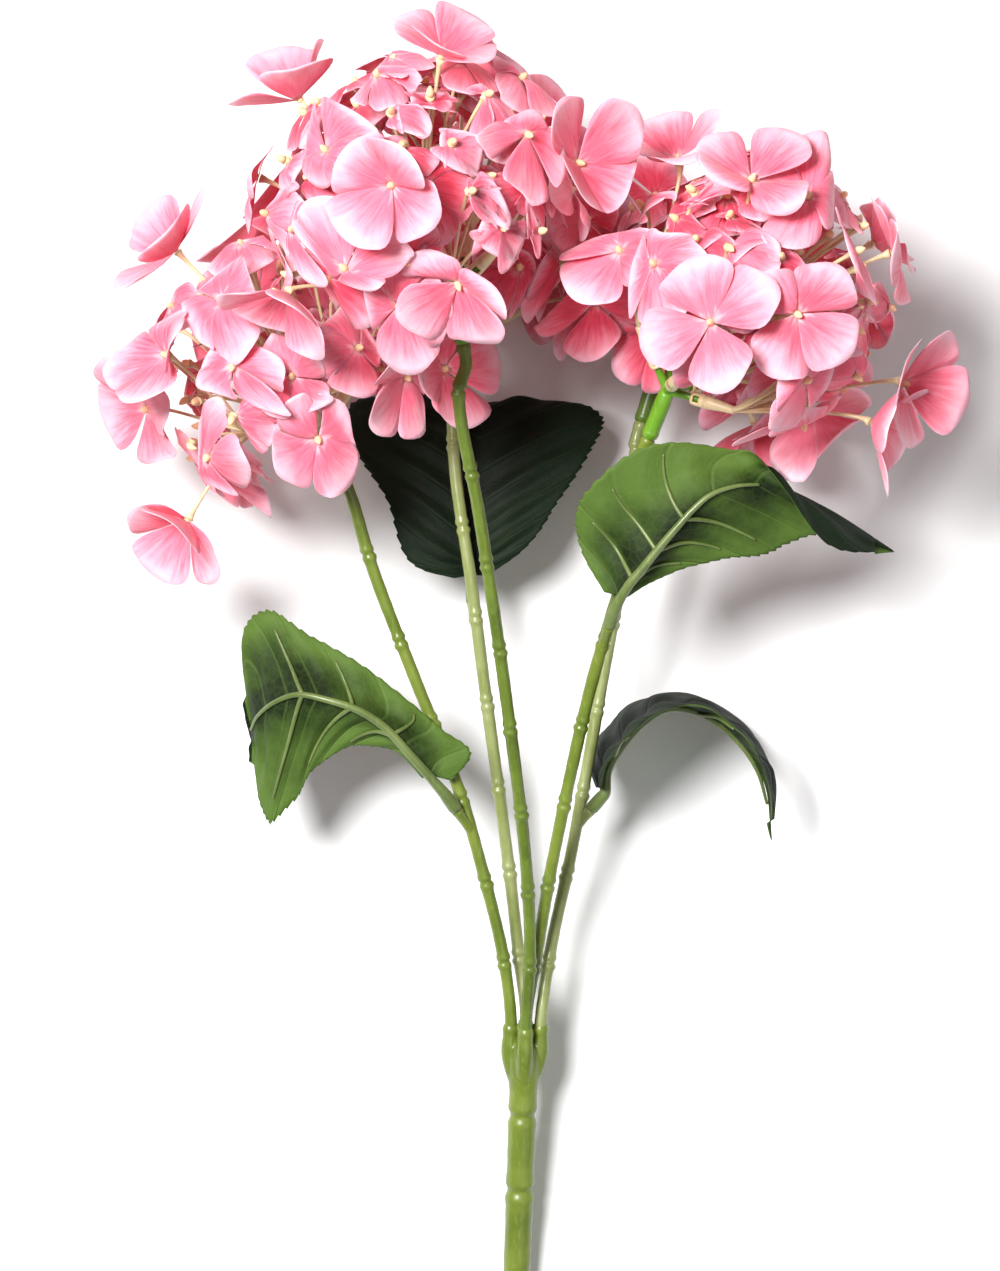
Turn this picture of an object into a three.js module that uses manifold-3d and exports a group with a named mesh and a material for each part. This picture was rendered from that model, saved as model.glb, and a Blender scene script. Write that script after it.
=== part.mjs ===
// An artificial cut hydrangea with five flower heads, lying down.
// Millimetres. +Y runs from the cut end to the flowers, +Z is up, the floor is z = 0.
// A moulded trunk forks into five branches. Each branch ends in a hub with six arms,
// each arm carries a cream spray, and each spray holds the florets of its sector.
import * as THREE from "three";
import { mergeVertices } from "three/addons/utils/BufferGeometryUtils.js";
import Module from "manifold-3d";

const wasm = await Module();
wasm.setup();

// Clearances
const FIT = 0.3;
const PETAL_GAP = 0.35;
const FLOOR_GAP = 0.3;

// Trunk
const TRUNK_CUT = [-3.8, -112, 6];
const TRUNK_FORK = [0, -1, 29.5];
const TRUNK_RADIUS = 6.2;
const TRUNK_NECK = 4.8;
const TRUNK_JOINTS = [0.49, 0.76];
const COLLAR_WALL = 0.95;
const COLLAR_LIP = 0.6;
const COLLAR_LENGTH = 9;
const BORE_DEPTH = 9;

// Branches
const BRANCH_RADIUS = 2.35;
const KNUCKLE_SWELL = 0.5;
const PINCH_DEPTH = 0.35;
const KNUCKLE_PITCH = 34;
const KNUCKLE_REACH = 2.6;
const TIP_RADIUS = 1.6;
const TIP_LENGTH = 11;

// Hubs and their arms
const HUB_RADIUS = 3.3;
const HUB_LENGTH = 20;
const ARM_RADIUS = 1.35;
const ARM_LENGTH = 14;
const ARM_SPREAD = 62;
const SIDE_ARMS = 5;

// Sprays
const SOCKET_START = 10.4;
const SOCKET_END = 28;
const SOCKET_RADIUS = 2.7;
const SOCKET_NECK = 1.5;
const WINDOW = 2;
const TWIG_RADIUS = 0.9;

// Florets
const PETAL_LENGTH = 25;
const PETAL_WIDTH = 25;
const PETAL_LIFT = 14;
const PETAL_THICKNESS = 0.9;
const NOTCH = 0.22;
const BEAD_RADIUS = 1.7;
const BEAD_HEIGHT = 3.2;
const FLORET_SPACING = 24;
const FLORET_REACH = 118;
const CORE_SHARE = 0.85;
const SHINGLE_ANGLE = 34;
const SHINGLE_STEP = 3;

// Leaves
const BLADE_THICKNESS = 0.6;
const TOOTH = 1.6;
const BLADE_STATIONS = 16;
const RIB_RADIUS = 1;
const VEIN_RADIUS = 0.7;
const RIB_GAP = 1;
const SLEEVE_RADIUS = 2.7;
const SLEEVE_LENGTH = 9;
const STUB_RADIUS = 2;
const STUB_PEG_RADIUS = 1.4;
const STUB_PEG_LENGTH = 6;

// Sizes that follow from these
const COLLAR_RADIUS = BRANCH_RADIUS + COLLAR_WALL;
const FORK_PITCH = 2 * (BRANCH_RADIUS + COLLAR_LIP);
const KNUCKLE_RADIUS = BRANCH_RADIUS + KNUCKLE_SWELL;
const PINCH_RADIUS = BRANCH_RADIUS - PINCH_DEPTH;

// Each head: its branch path, hub, centre, half sizes, and the florets facing up.
// A facing floret is [across, along, roll in degrees], measured from the head's centre.
const HEADS = {
  front: {
    seat: [0, 1],
    path: [[1.9, 36, 45], [0.2, 73, 62], [-7.8, 139, 90], [-17.2, 203, 112], [-25, 250, 127]],
    hub: [-26.4, 287, 134],
    centre: [-40.5, 321, 149],
    across: 59,
    along: 51,
    facing: [
      [-9, 28, 90], [-31, 12, 55], [-45, -15, 58], [-7, -1, 50], [20, -3, 30], [47, -16, 50],
      [-24, -30, 20], [14, 15, 75], [56, 10, 30], [40, 19, 80], [27, 35, 80], [9, 46, 60],
      [-35, 33, 10], [-50, 12, 50],
    ],
  },
  left: {
    seat: [-1, 0],
    path: [[-8.3, 34, 37], [-15.5, 65, 46], [-25.5, 100, 55], [-42.7, 144, 64], [-58, 184, 70]],
    hub: [-77.3, 238, 82],
    centre: [-91, 262, 88],
    across: 52,
    along: 48,
    facing: [
      [-43, 22, 20], [-21, 20, 20], [-17, -2, 25], [5, -7, 42], [-50, -16, 25], [-37, -59, 40],
      [6, 15, 60], [-27, -35, 10], [44, 17, 20], [44, -5, 30], [-16, 44, 45], [62, -2, 0],
      [-40, 42, 80],
    ],
  },
  right: {
    seat: [0, 0],
    path: [[5.2, 40, 40], [10.7, 73, 53], [24.1, 137, 78], [31.8, 165, 89], [43, 203, 100]],
    hub: [52.8, 251, 118],
    centre: [84.5, 287, 134],
    across: 53,
    along: 50,
    facing: [
      [-37, 7, 10], [-12, 13, 35], [-17, -14, 25], [16, -34, 70], [27, -22, 30], [12, -11, 50],
      [35, 12, 20], [42, -6, 80], [53, -33, 20], [-24, 35, 60], [-3, 35, 45], [18, 31, 60],
      [44, -50, 0],
    ],
  },
  back: {
    seat: [0, -1],
    path: [[-2.3, 34, 27], [-6.6, 72, 33], [-16.3, 145, 44], [-20.5, 178, 48], [-27, 223, 50]],
    hub: [-26.7, 275, 52],
    centre: [-22, 311, 57],
    across: 52,
    along: 48,
    facing: [],
  },
  low: {
    seat: [1, 0],
    path: [[10.2, 38, 31], [17.4, 72, 36], [23.2, 103, 40], [34.3, 166, 46], [44, 210, 48]],
    hub: [50.8, 261, 49],
    centre: [67.4, 284, 52],
    across: 52,
    along: 48,
    facing: [],
  },
};

// Each leaf: the stub its sleeve fits, and three curves from base to tip.
const LEAVES = {
  left: {
    branch: "left",
    ribEnd: 0.9,
    stub: [[-20.5, 84, 51], [-26.5, 92.5, 58]],
    rib: [[-35, 104, 65], [-48, 119, 71], [-59, 129, 73], [-72, 134, 74], [-86, 137, 71],
      [-97, 133, 64], [-104, 126, 54], [-106, 118, 42]],
    left: [[-30, 102, 63], [-20, 114, 66], [-33, 126, 68], [-59, 147, 69], [-83, 161, 65],
      [-100, 170, 62], [-110, 162, 56], [-106, 118, 42]],
    right: [[-38, 103, 63], [-50, 113, 65], [-66, 115, 65], [-80, 107, 62], [-88, 95, 60],
      [-100, 86, 58], [-105, 96, 50], [-106, 118, 42]],
  },
  right: {
    branch: "right",
    ribEnd: 0.6,
    stub: [[29.2, 155, 85.5], [31.5, 163, 94]],
    rib: [[34, 173, 103], [43, 184, 108], [56, 200, 113], [70, 213, 115], [91, 216, 110],
      [112, 208, 102], [140, 191, 90]],
    left: [[37, 173, 97], [51, 179, 101], [73, 186, 101], [92, 189, 98], [108, 195, 95],
      [122, 194, 94], [140, 191, 90]],
    right: [[31, 173, 98], [18, 195, 101], [20, 210, 112], [46, 230, 121], [80, 227, 114],
      [112, 192, 112], [140, 191, 90]],
  },
  back: {
    branch: "back",
    ribEnd: 0.9,
    stub: [[-19.8, 165, 46], [-20.2, 172, 41]],
    rib: [[-21, 182, 40], [-21, 190, 41], [-21, 204, 40], [-19, 222, 36], [-18, 240, 30],
      [-18, 250, 20], [-17, 248, 7]],
    left: [[-25, 181, 40], [-45, 188, 40], [-54, 212, 37], [-67, 232, 33], [-70, 246, 26],
      [-49, 252, 16], [-17, 248, 7]],
    right: [[-17, 181, 40], [2, 195, 40], [14, 212, 37], [26, 230, 33], [31, 242, 26],
      [14, 249, 16], [-17, 248, 7]],
  },
  low: {
    branch: "low",
    ribEnd: 0.9,
    stub: [[20.5, 86, 37.5], [25.5, 92, 41]],
    rib: [[28.5, 99, 44], [31, 110, 46], [40, 122, 48], [52, 132, 48], [69, 130, 46],
      [84, 118, 43], [93, 102, 40], [96, 79, 36]],
    left: [[28, 99, 40], [28, 109, 20], [34, 120, 9], [45, 131, 6], [65, 133, 8],
      [86, 120, 15], [95, 103, 24], [96, 79, 36]],
    right: [[29, 99, 48], [33, 108, 75], [40, 117, 86], [49, 126, 88], [63, 130, 80],
      [80, 120, 70], [91, 103, 56], [96, 79, 36]],
  },
};

const GREEN_STEM = new THREE.MeshStandardMaterial({ color: 0x84923f, roughness: 0.45, metalness: 0 });
const PALE_STEM = new THREE.MeshStandardMaterial({ color: 0xa9b077, roughness: 0.5, metalness: 0 });
const HUB_GREEN = new THREE.MeshStandardMaterial({ color: 0x6e9a2a, roughness: 0.45, metalness: 0 });
const PETAL_PINK = new THREE.MeshStandardMaterial({ color: 0xf7a6bd, roughness: 0.7, metalness: 0 });
const LEAF_GREEN = new THREE.MeshStandardMaterial({ color: 0x3b5a26, roughness: 0.6, metalness: 0 });
const RIB_GREEN = new THREE.MeshStandardMaterial({ color: 0x8c9a66, roughness: 0.5, metalness: 0 });

const vec = (p) => new THREE.Vector3(...p);
const mix = (a, b, t) => a.clone().lerp(b, t);
const step = (from, direction, distance) => from.clone().addScaledVector(direction, distance);

// The part of a that lies across the unit vector n.
function across(a, n) {
  return a.clone().addScaledVector(n, -a.dot(n));
}

function squareTo(direction) {
  const helper = Math.abs(direction.z) < 0.9 ? vec([0, 0, 1]) : vec([1, 0, 0]);
  return across(helper, direction).normalize();
}

function solid(triangles) {
  const geometry = new THREE.BufferGeometry().setFromPoints(triangles.flat());
  const merged = mergeVertices(geometry, 1e-4);
  const triVerts = new Uint32Array(merged.index.array);
  const vertProperties = merged.attributes.position.array;
  return new wasm.Manifold(new wasm.Mesh({ numProp: 3, vertProperties, triVerts }));
}

function geometryOf(body) {
  const made = body.getMesh();
  const geometry = new THREE.BufferGeometry();
  geometry.setAttribute("position", new THREE.BufferAttribute(made.vertProperties, 3));
  geometry.setIndex(new THREE.BufferAttribute(made.triVerts, 1));
  geometry.computeVertexNormals();
  return geometry;
}

function unite(bodies) {
  return bodies.reduce((sum, body) => sum.add(body));
}

// A closed body through rings of equally many points, each turning left about the travel.
function loft(rings, first, last) {
  const count = rings[0].length;
  const triangles = [];
  for (let i = 0; i < count; i++) {
    const j = (i + 1) % count;
    triangles.push([first, rings[0][j], rings[0][i]]);
    triangles.push([last, rings.at(-1)[i], rings.at(-1)[j]]);
    for (let r = 1; r < rings.length; r++) {
      const [a, b] = [rings[r - 1], rings[r]];
      triangles.push([a[i], a[j], b[j]]);
      triangles.push([a[i], b[j], b[i]]);
    }
  }
  return solid(triangles);
}

// A round bar through points, with one radius each; tip is how far the far end is pointed.
function bar(points, radii, sides, tip = 0) {
  let side = squareTo(points[1].clone().sub(points[0]).normalize());
  const rings = points.map((point, k) => {
    const before = points[Math.max(k - 1, 0)];
    const after = points[Math.min(k + 1, points.length - 1)];
    const travel = after.clone().sub(before).normalize();
    side = across(side, travel).normalize();
    const up = travel.clone().cross(side);
    return Array.from({ length: sides }, (_, i) => {
      const turn = (2 * Math.PI * i) / sides;
      const spoke = side.clone().multiplyScalar(Math.cos(turn)).addScaledVector(up, Math.sin(turn));
      return step(point, spoke, radii[k]);
    });
  });
  const travel = points.at(-1).clone().sub(points.at(-2)).normalize();
  return loft(rings, points[0], step(points.at(-1), travel, tip));
}

// A straight bar from start along direction, between two distances.
function pin(start, direction, from, to, radius, sides, farRadius = radius) {
  return bar([step(start, direction, from), step(start, direction, to)], [radius, farRadius], sides);
}

const nodes = new THREE.Group();

function addNode(name, body, material) {
  const mesh = new THREE.Mesh(geometryOf(body), material.clone());
  mesh.name = name;
  nodes.add(mesh);
}

// Trunk: a jointed bar with a collar for each branch.
const cut = vec(TRUNK_CUT);
const fork = vec(TRUNK_FORK);
const trunkAxis = fork.clone().sub(cut).normalize();
const trunkSide = vec([1, 0, 0]);
const trunkUp = trunkSide.clone().cross(trunkAxis);

function seatOf(head) {
  const [right, up] = head.seat;
  return step(step(fork, trunkSide, right * FORK_PITCH), trunkUp, up * FORK_PITCH);
}

function trunkBody() {
  const stations = [[0, 0.88], [0.02, 0.94]];
  for (const joint of TRUNK_JOINTS) {
    stations.push([joint - 0.03, 0.9]);
    stations.push([joint - 0.012, 0.96]);
    stations.push([joint, TRUNK_NECK / TRUNK_RADIUS]);
    stations.push([joint + 0.012, 1]);
    stations.push([joint + 0.04, 0.96]);
  }
  stations.push([0.97, 1.02], [1, 1.3], [1.02, 1.2]);
  const points = stations.map(([t]) => mix(cut, fork, t));
  const radii = stations.map(([, scale]) => scale * TRUNK_RADIUS);
  let body = bar(points, radii, 12);
  for (const head of Object.values(HEADS)) {
    const seat = seatOf(head);
    const collar = [-5, 2, COLLAR_LENGTH].map((t) => step(seat, trunkAxis, t));
    body = body.add(bar(collar, [COLLAR_RADIUS, COLLAR_RADIUS, BRANCH_RADIUS + COLLAR_LIP], 8));
  }
  for (const head of Object.values(HEADS)) {
    const bore = [COLLAR_LENGTH - BORE_DEPTH, COLLAR_LENGTH + 1];
    body = body.subtract(pin(seatOf(head), trunkAxis, ...bore, BRANCH_RADIUS + FIT, 8));
  }
  return body;
}

// Branches: knuckled bars from the collar to a thin peg inside the hub.
function branchCurve(head) {
  const seat = seatOf(head);
  const hub = vec(head.hub);
  const axis = hubAxis(head);
  const start = [FIT, COLLAR_LENGTH + 3].map((t) => step(seat, trunkAxis, t));
  const end = [HUB_LENGTH + 8, HUB_LENGTH, HUB_LENGTH - TIP_LENGTH].map((t) => step(hub, axis, -t));
  return new THREE.CatmullRomCurve3([...start, ...head.path.map(vec), ...end], false, "centripetal");
}

// The hub stands half way between the way its branch comes and the way to the head's centre.
function hubAxis(head) {
  const hub = vec(head.hub);
  const arriving = hub.clone().sub(vec(head.path.at(-1))).normalize();
  const leaving = vec(head.centre).sub(hub).normalize();
  return arriving.multiplyScalar(2).add(leaving).normalize();
}

function branchBody(head) {
  const curve = branchCurve(head);
  const length = curve.getLength();
  const pegStart = length - TIP_LENGTH;
  const stations = [[0, BRANCH_RADIUS], [COLLAR_LENGTH + 3 - FIT, BRANCH_RADIUS]];
  for (let s = KNUCKLE_PITCH; s < pegStart - 8; s += KNUCKLE_PITCH) {
    stations.push([s - KNUCKLE_REACH, BRANCH_RADIUS]);
    stations.push([s - KNUCKLE_REACH / 2, KNUCKLE_RADIUS]);
    stations.push([s, PINCH_RADIUS]);
    stations.push([s + KNUCKLE_REACH / 2, KNUCKLE_RADIUS]);
    stations.push([s + KNUCKLE_REACH, BRANCH_RADIUS]);
  }
  const inside = stations.filter(([s]) => s < pegStart - 5);
  inside.push([pegStart - 3, KNUCKLE_RADIUS], [pegStart - 1.6, KNUCKLE_RADIUS]);
  inside.push([pegStart, TIP_RADIUS], [length, TIP_RADIUS]);
  const points = inside.map(([s]) => curve.getPointAt(s / length));
  return bar(points, inside.map(([, radius]) => radius), 6);
}

function stubBody(leaf) {
  const [root, end] = leaf.stub.map(vec);
  const ahead = end.clone().sub(root).normalize();
  const points = [root, step(end, ahead, -1), end];
  const neck = bar(points, [STUB_RADIUS, STUB_RADIUS, STUB_PEG_RADIUS], 7);
  return neck.add(pin(end, ahead, -1, STUB_PEG_LENGTH, STUB_PEG_RADIUS, 7));
}

// Hubs: a sleeve over the branch tip and six arms.
function armDirections(head) {
  const axis = vec(head.centre).sub(vec(head.hub)).normalize();
  const side = squareTo(axis);
  const directions = [axis];
  for (let i = 0; i < SIDE_ARMS; i++) {
    const outward = side.clone().applyAxisAngle(axis, (2 * Math.PI * i) / SIDE_ARMS);
    const tilt = THREE.MathUtils.degToRad(ARM_SPREAD);
    directions.push(axis.clone().multiplyScalar(Math.cos(tilt)).addScaledVector(outward, Math.sin(tilt)));
  }
  return directions;
}

function hubBody(head) {
  const hub = vec(head.hub);
  const axis = hubAxis(head);
  const stations = [-HUB_LENGTH, -HUB_LENGTH + 2, -5, 0, 2];
  const radii = [0.85, 1, 0.95, 0.8, 0.4].map((scale) => scale * HUB_RADIUS);
  let body = bar(stations.map((t) => step(hub, axis, t)), radii, 8);
  for (const direction of armDirections(head)) {
    body = body.add(pin(hub, direction, 0, ARM_LENGTH, ARM_RADIUS * 1.2, 5, ARM_RADIUS * 0.8));
  }
  const depth = [-HUB_LENGTH - 1, -HUB_LENGTH + TIP_LENGTH + FIT];
  return body.subtract(pin(hub, axis, ...depth, TIP_RADIUS + FIT, 7));
}

// Florets: where each one sits and faces.
function onHead(head, direction) {
  const axis = vec(head.centre).sub(vec(head.hub)).normalize();
  const lean = direction.dot(axis) ** 2;
  return 1 / Math.sqrt(lean / head.along ** 2 + (1 - lean) / head.across ** 2);
}

// The point of the head's surface straight above an offset, or beside it when it is outside.
function facingPoint(head, x, y) {
  let [low, high] = [0, head.across * 1.2];
  for (let i = 0; i < 20; i++) {
    const z = (low + high) / 2;
    const offset = vec([x, y, z]);
    const inside = offset.length() < onHead(head, offset.clone().normalize());
    [low, high] = inside ? [z, high] : [low, z];
  }
  return vec([x, y, low]);
}

function insideAnother(point, head) {
  return Object.values(HEADS).some((other) => {
    if (other === head) return false;
    const offset = point.clone().sub(vec(other.centre));
    const nearHub = point.distanceTo(vec(other.hub)) < SOCKET_END;
    return nearHub || offset.length() < onHead(other, offset.clone().normalize()) * 1.06;
  });
}

const GOLDEN = Math.PI * (3 - Math.sqrt(5));
const florets = [];

function placeFloret(head, offset, roll) {
  const level = ((florets.length * 0.618) % 1) * 2 - 1;
  const outward = offset.clone().normalize();
  const centre = vec(head.centre).add(offset).addScaledVector(outward, level * SHINGLE_STEP);
  const jitter = vec([Math.sin(roll), Math.cos(roll * 1.7), Math.sin(roll * 2.3)]);
  const facing = outward.clone().addScaledVector(jitter, 0.14).normalize();
  florets.push({ head, centre, facing, roll, level });
}

function placeHead(head) {
  for (const [x, y, roll] of head.facing) {
    placeFloret(head, facingPoint(head, x, y), THREE.MathUtils.degToRad(roll));
  }
  const axis = vec(head.centre).sub(vec(head.hub)).normalize();
  const reach = Math.cos(THREE.MathUtils.degToRad(FLORET_REACH));
  const tries = 90;
  for (let i = 0; i < tries; i++) {
    const z = 1 - (2 * i + 1) / tries;
    const ring = Math.sqrt(1 - z * z);
    const direction = vec([ring * Math.cos(i * GOLDEN), ring * Math.sin(i * GOLDEN), z]);
    const offset = direction.clone().multiplyScalar(onHead(head, direction));
    const point = vec(head.centre).add(offset);
    const tooClose = florets.some((other) => other.centre.distanceTo(point) < FLORET_SPACING);
    const low = point.z < 7;
    if (tooClose || low || direction.dot(axis) < reach || insideAnother(point, head)) continue;
    placeFloret(head, offset, i * 2.4);
  }
}

Object.values(HEADS).forEach(placeHead);

// Where a petal must stop: halfway to its neighbours, at the stems and leaves, at the floor.
function wallBetween(floret, other) {
  const middle = mix(floret.centre, other.centre, 0.5);
  const toward = other.centre.clone().sub(floret.centre);
  const outward = floret.facing.clone().add(other.facing).normalize();
  let normal = toward.normalize();
  if (floret.head === other.head) {
    const sideways = across(normal, outward).normalize();
    const rise = THREE.MathUtils.clamp((floret.level - other.level) * 1.6, -1, 1);
    const angle = THREE.MathUtils.degToRad(SHINGLE_ANGLE * rise);
    normal = sideways.multiplyScalar(Math.cos(angle)).addScaledVector(outward, -Math.sin(angle));
  }
  return { normal, limit: normal.dot(middle) - PETAL_GAP / 2 };
}

function wallsOf(floret, obstacles) {
  const walls = [{ normal: vec([0, 0, -1]), limit: -FLOOR_GAP }];
  for (const other of florets) {
    const near = other.centre.distanceTo(floret.centre) < 2.2 * PETAL_LENGTH;
    if (other !== floret && near) walls.push(wallBetween(floret, other));
  }
  for (const other of Object.values(HEADS).filter((head) => head !== floret.head)) {
    const middle = vec(other.centre);
    const normal = middle.clone().sub(floret.centre).normalize();
    const core = CORE_SHARE * onHead(other, normal.clone().negate());
    walls.push({ normal, limit: normal.dot(middle) - core });
  }
  for (const { points, radius } of obstacles) {
    const distances = points.map((point) => point.distanceTo(floret.centre));
    const nearest = Math.min(...distances);
    if (nearest > PETAL_LENGTH * 1.3) continue;
    const point = points[distances.indexOf(nearest)];
    const normal = point.clone().sub(floret.centre).normalize();
    walls.push({ normal, limit: normal.dot(point) - radius - PETAL_GAP });
  }
  return walls;
}

function reachTo(from, to, walls) {
  const span = to.clone().sub(from);
  let share = 1;
  for (const { normal, limit } of walls) {
    const climb = normal.dot(span);
    if (climb > 1e-6) share = Math.min(share, (limit - normal.dot(from)) / climb);
  }
  return share;
}

// One petal's rim, from its first side to its second, lifted by an angle.
function petalRim(floret, turn, lift) {
  const outline = [[0.5, -0.46], [0.93, -0.3], [0.93, 0.3], [0.5, 0.46]];
  const side = floret.facing.clone().cross(floret.east);
  const along = floret.east.clone().multiplyScalar(Math.cos(turn)).addScaledVector(side, Math.sin(turn));
  const beside = floret.facing.clone().cross(along);
  return outline.map(([out, wide]) => {
    const point = step(floret.centre, along, out * PETAL_LENGTH * Math.cos(lift));
    point.addScaledVector(floret.facing, out * PETAL_LENGTH * Math.sin(lift));
    return point.addScaledVector(beside, wide * PETAL_WIDTH);
  });
}

// The lift that leaves the petal broadest as seen from in front of the floret.
function fittedPetal(floret, turn, walls) {
  let best = { show: -1 };
  for (let degrees = PETAL_LIFT; degrees <= 60; degrees += 8) {
    const lift = THREE.MathUtils.degToRad(degrees);
    const rim = petalRim(floret, turn, lift);
    const reaches = rim.map((point) => reachTo(floret.centre, point, walls));
    const show = Math.cos(lift) * reaches.reduce((sum, reach) => sum + reach);
    if (show > best.show) best = { show, rim, reaches, lift };
  }
  return { rim: best.rim.map((point, i) => mix(floret.centre, point, best.reaches[i])), lift: best.lift };
}

function floretBody(floret, obstacles) {
  const walls = wallsOf(floret, obstacles);
  const aim = vec([Math.cos(floret.roll), Math.sin(floret.roll), 0]);
  if (across(aim, floret.facing).length() < 0.4) aim.set(0, 0, 1);
  floret.east = across(aim, floret.facing).normalize();
  const side = floret.facing.clone().cross(floret.east);
  const toward = (turn) =>
    floret.east.clone().multiplyScalar(Math.cos(turn)).addScaledVector(side, Math.sin(turn));
  const half = PETAL_THICKNESS / 2;
  const rim = [];
  const bead = [];
  const heel = [];
  for (let i = 0; i < 4; i++) {
    const turn = (Math.PI / 2) * i;
    const petal = fittedPetal(floret, turn, walls);
    const cleft = step(floret.centre, toward(turn + Math.PI / 4), NOTCH * PETAL_LENGTH);
    rim.push(...petal.rim, step(cleft, floret.facing, 0.8));
    const shoulder = step(step(floret.centre, toward(turn), BEAD_RADIUS), floret.facing, half);
    bead.push(shoulder);
    const outside = step(shoulder, toward(turn), PETAL_THICKNESS * Math.sin(petal.lift));
    heel.push(step(outside, floret.facing, -PETAL_THICKNESS * Math.cos(petal.lift)));
  }
  const apex = step(floret.centre, floret.facing, half + BEAD_HEIGHT);
  const under = step(floret.centre, floret.facing, -half);
  const triangles = [];
  for (let i = 0; i < 4; i++) {
    const next = (i + 1) % 4;
    const petal = rim.slice(i * 5, i * 5 + 5);
    const outline = [rim[(i * 5 + 19) % 20], ...petal];
    triangles.push([apex, bead[i], bead[next]]);
    triangles.push([under, heel[next], heel[i]]);
    triangles.push([bead[i], petal[4], bead[next]]);
    triangles.push([heel[i], heel[next], petal[4]]);
    for (let k = 0; k < 5; k++) {
      triangles.push([bead[i], outline[k], outline[k + 1]]);
      triangles.push([heel[i], outline[k + 1], outline[k]]);
    }
  }
  return solid(triangles);
}

// Sprays: a socket over one arm, a twig to each floret of its sector, and the florets.
function sprayBody(head, direction, members, obstacles) {
  const hub = vec(head.hub);
  const stations = [SOCKET_START, SOCKET_START + 7, SOCKET_END];
  const points = stations.map((t) => step(hub, direction, t));
  let body = bar(points, [SOCKET_RADIUS, SOCKET_RADIUS * 0.9, SOCKET_NECK], 5, 1);
  const depth = [SOCKET_START - 1, ARM_LENGTH + FIT];
  body = body.subtract(pin(hub, direction, ...depth, ARM_RADIUS + FIT, 5));
  const window = new THREE.BoxGeometry(WINDOW, WINDOW * 1.4, SOCKET_RADIUS * 1.6).toNonIndexed();
  const up = squareTo(direction);
  const centre = step(step(hub, direction, SOCKET_START + 2.2), up, SOCKET_RADIUS);
  const placing = new THREE.Matrix4().makeBasis(direction.clone().cross(up), direction, up);
  window.applyMatrix4(placing.setPosition(centre));
  const corners = window.attributes.position;
  const faces = Array.from({ length: corners.count / 3 }, (_, i) =>
    [0, 1, 2].map((k) => new THREE.Vector3().fromBufferAttribute(corners, i * 3 + k)));
  body = body.subtract(solid(faces));
  for (const floret of members) {
    const from = step(hub, direction, SOCKET_END - 1);
    const to = step(floret.centre, floret.facing, -PETAL_THICKNESS / 4);
    body = body.add(bar([from, to], [TWIG_RADIUS * 1.2, TWIG_RADIUS], 3));
    body = body.add(floretBody(floret, obstacles));
  }
  return body;
}

// Leaves: a thin serrated blade between two margins, with a ribbed frame under it.
function bladePoint(leaf, t, u) {
  const middle = leaf.curves.rib.getPoint(t);
  const edge = leaf.curves[u < 0 ? "left" : "right"].getPoint(t);
  return mix(middle, edge, Math.abs(u));
}

// The way the upper side faces.
function bladeNormal(leaf, t, u) {
  const [t0, t1] = [Math.max(t - 0.02, 0.03), Math.min(t + 0.02, 0.93)];
  const tangent = bladePoint(leaf, t1, u).sub(bladePoint(leaf, t0, u));
  const side = u === 0 ? bladePoint(leaf, t1, 0.5).sub(bladePoint(leaf, t1, -0.5))
    : bladePoint(leaf, t1, u).sub(bladePoint(leaf, t1, 0)).multiplyScalar(Math.sign(u));
  return side.cross(tangent).normalize();
}

const LATERAL = [-1, -0.5, 0, 0.5, 1];

function bladeBody(leaf) {
  const rows = [];
  for (let i = 0; i <= BLADE_STATIONS; i++) {
    const t = 0.04 + (0.95 * i) / BLADE_STATIONS;
    rows.push(LATERAL.map((u) => {
      const point = bladePoint(leaf, t, u);
      if (Math.abs(u) === 1 && i % 2 === 1) point.lerp(bladePoint(leaf, t, 0), TOOTH / 30);
      return { point, normal: bladeNormal(leaf, t, u) };
    }));
  }
  const last = LATERAL.length - 1;
  const rim = (i, k) => k === 0 || k === last || i === 0 || i === BLADE_STATIONS;
  const layer = (i, k, sign) => {
    const { point, normal } = rows[i][k];
    return rim(i, k) ? point : step(point, normal, (sign * BLADE_THICKNESS) / 2);
  };
  const triangles = [];
  for (let i = 0; i < BLADE_STATIONS; i++) {
    for (let k = 0; k < last; k++) {
      for (const sign of [1, -1]) {
        const [a, b, c, d] = [[i, k], [i, k + 1], [i + 1, k + 1], [i + 1, k]].map(([r, s]) => layer(r, s, sign));
        const pair = [[a, b, c], [a, c, d]];
        triangles.push(...(sign > 0 ? pair : pair.map(([p, q, r]) => [p, r, q])));
      }
    }
  }
  return solid(triangles);
}

function underBlade(leaf, t, u, radius) {
  const drop = BLADE_THICKNESS / 2 + RIB_GAP + radius;
  return step(bladePoint(leaf, t, u), bladeNormal(leaf, t, u), -drop);
}

function ribBody(leaf) {
  const [root, end] = leaf.stub.map(vec);
  const ahead = end.clone().sub(root).normalize();
  const sleeve = [FIT, SLEEVE_LENGTH].map((t) => step(end, ahead, t));
  const stations = Array.from({ length: 11 }, (_, i) => 0.09 + (i * leaf.ribEnd) / 11);
  const midrib = stations.map((t) => underBlade(leaf, t, 0, RIB_RADIUS));
  const points = [...sleeve, ...midrib];
  const radii = points.map((_, i) => (i < 2 ? SLEEVE_RADIUS : RIB_RADIUS * (1.5 - i * 0.06)));
  radii[1] = SLEEVE_RADIUS * 0.8;
  let body = bar(points, radii, 5);
  for (const t of [0.2, 0.41, 0.62].map((share) => share * leaf.ribEnd)) {
    for (const side of [-1, 1]) {
      const vein = [0, 0.5, 1].map((s) => underBlade(leaf, t + s * 0.13, side * s * 0.78, VEIN_RADIUS));
      body = body.add(bar(vein, [1, 0.85, 0.6].map((scale) => scale * VEIN_RADIUS), 4));
    }
  }
  return body.subtract(pin(end, ahead, -1, STUB_PEG_LENGTH + FIT, STUB_PEG_RADIUS + FIT, 7));
}

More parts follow.
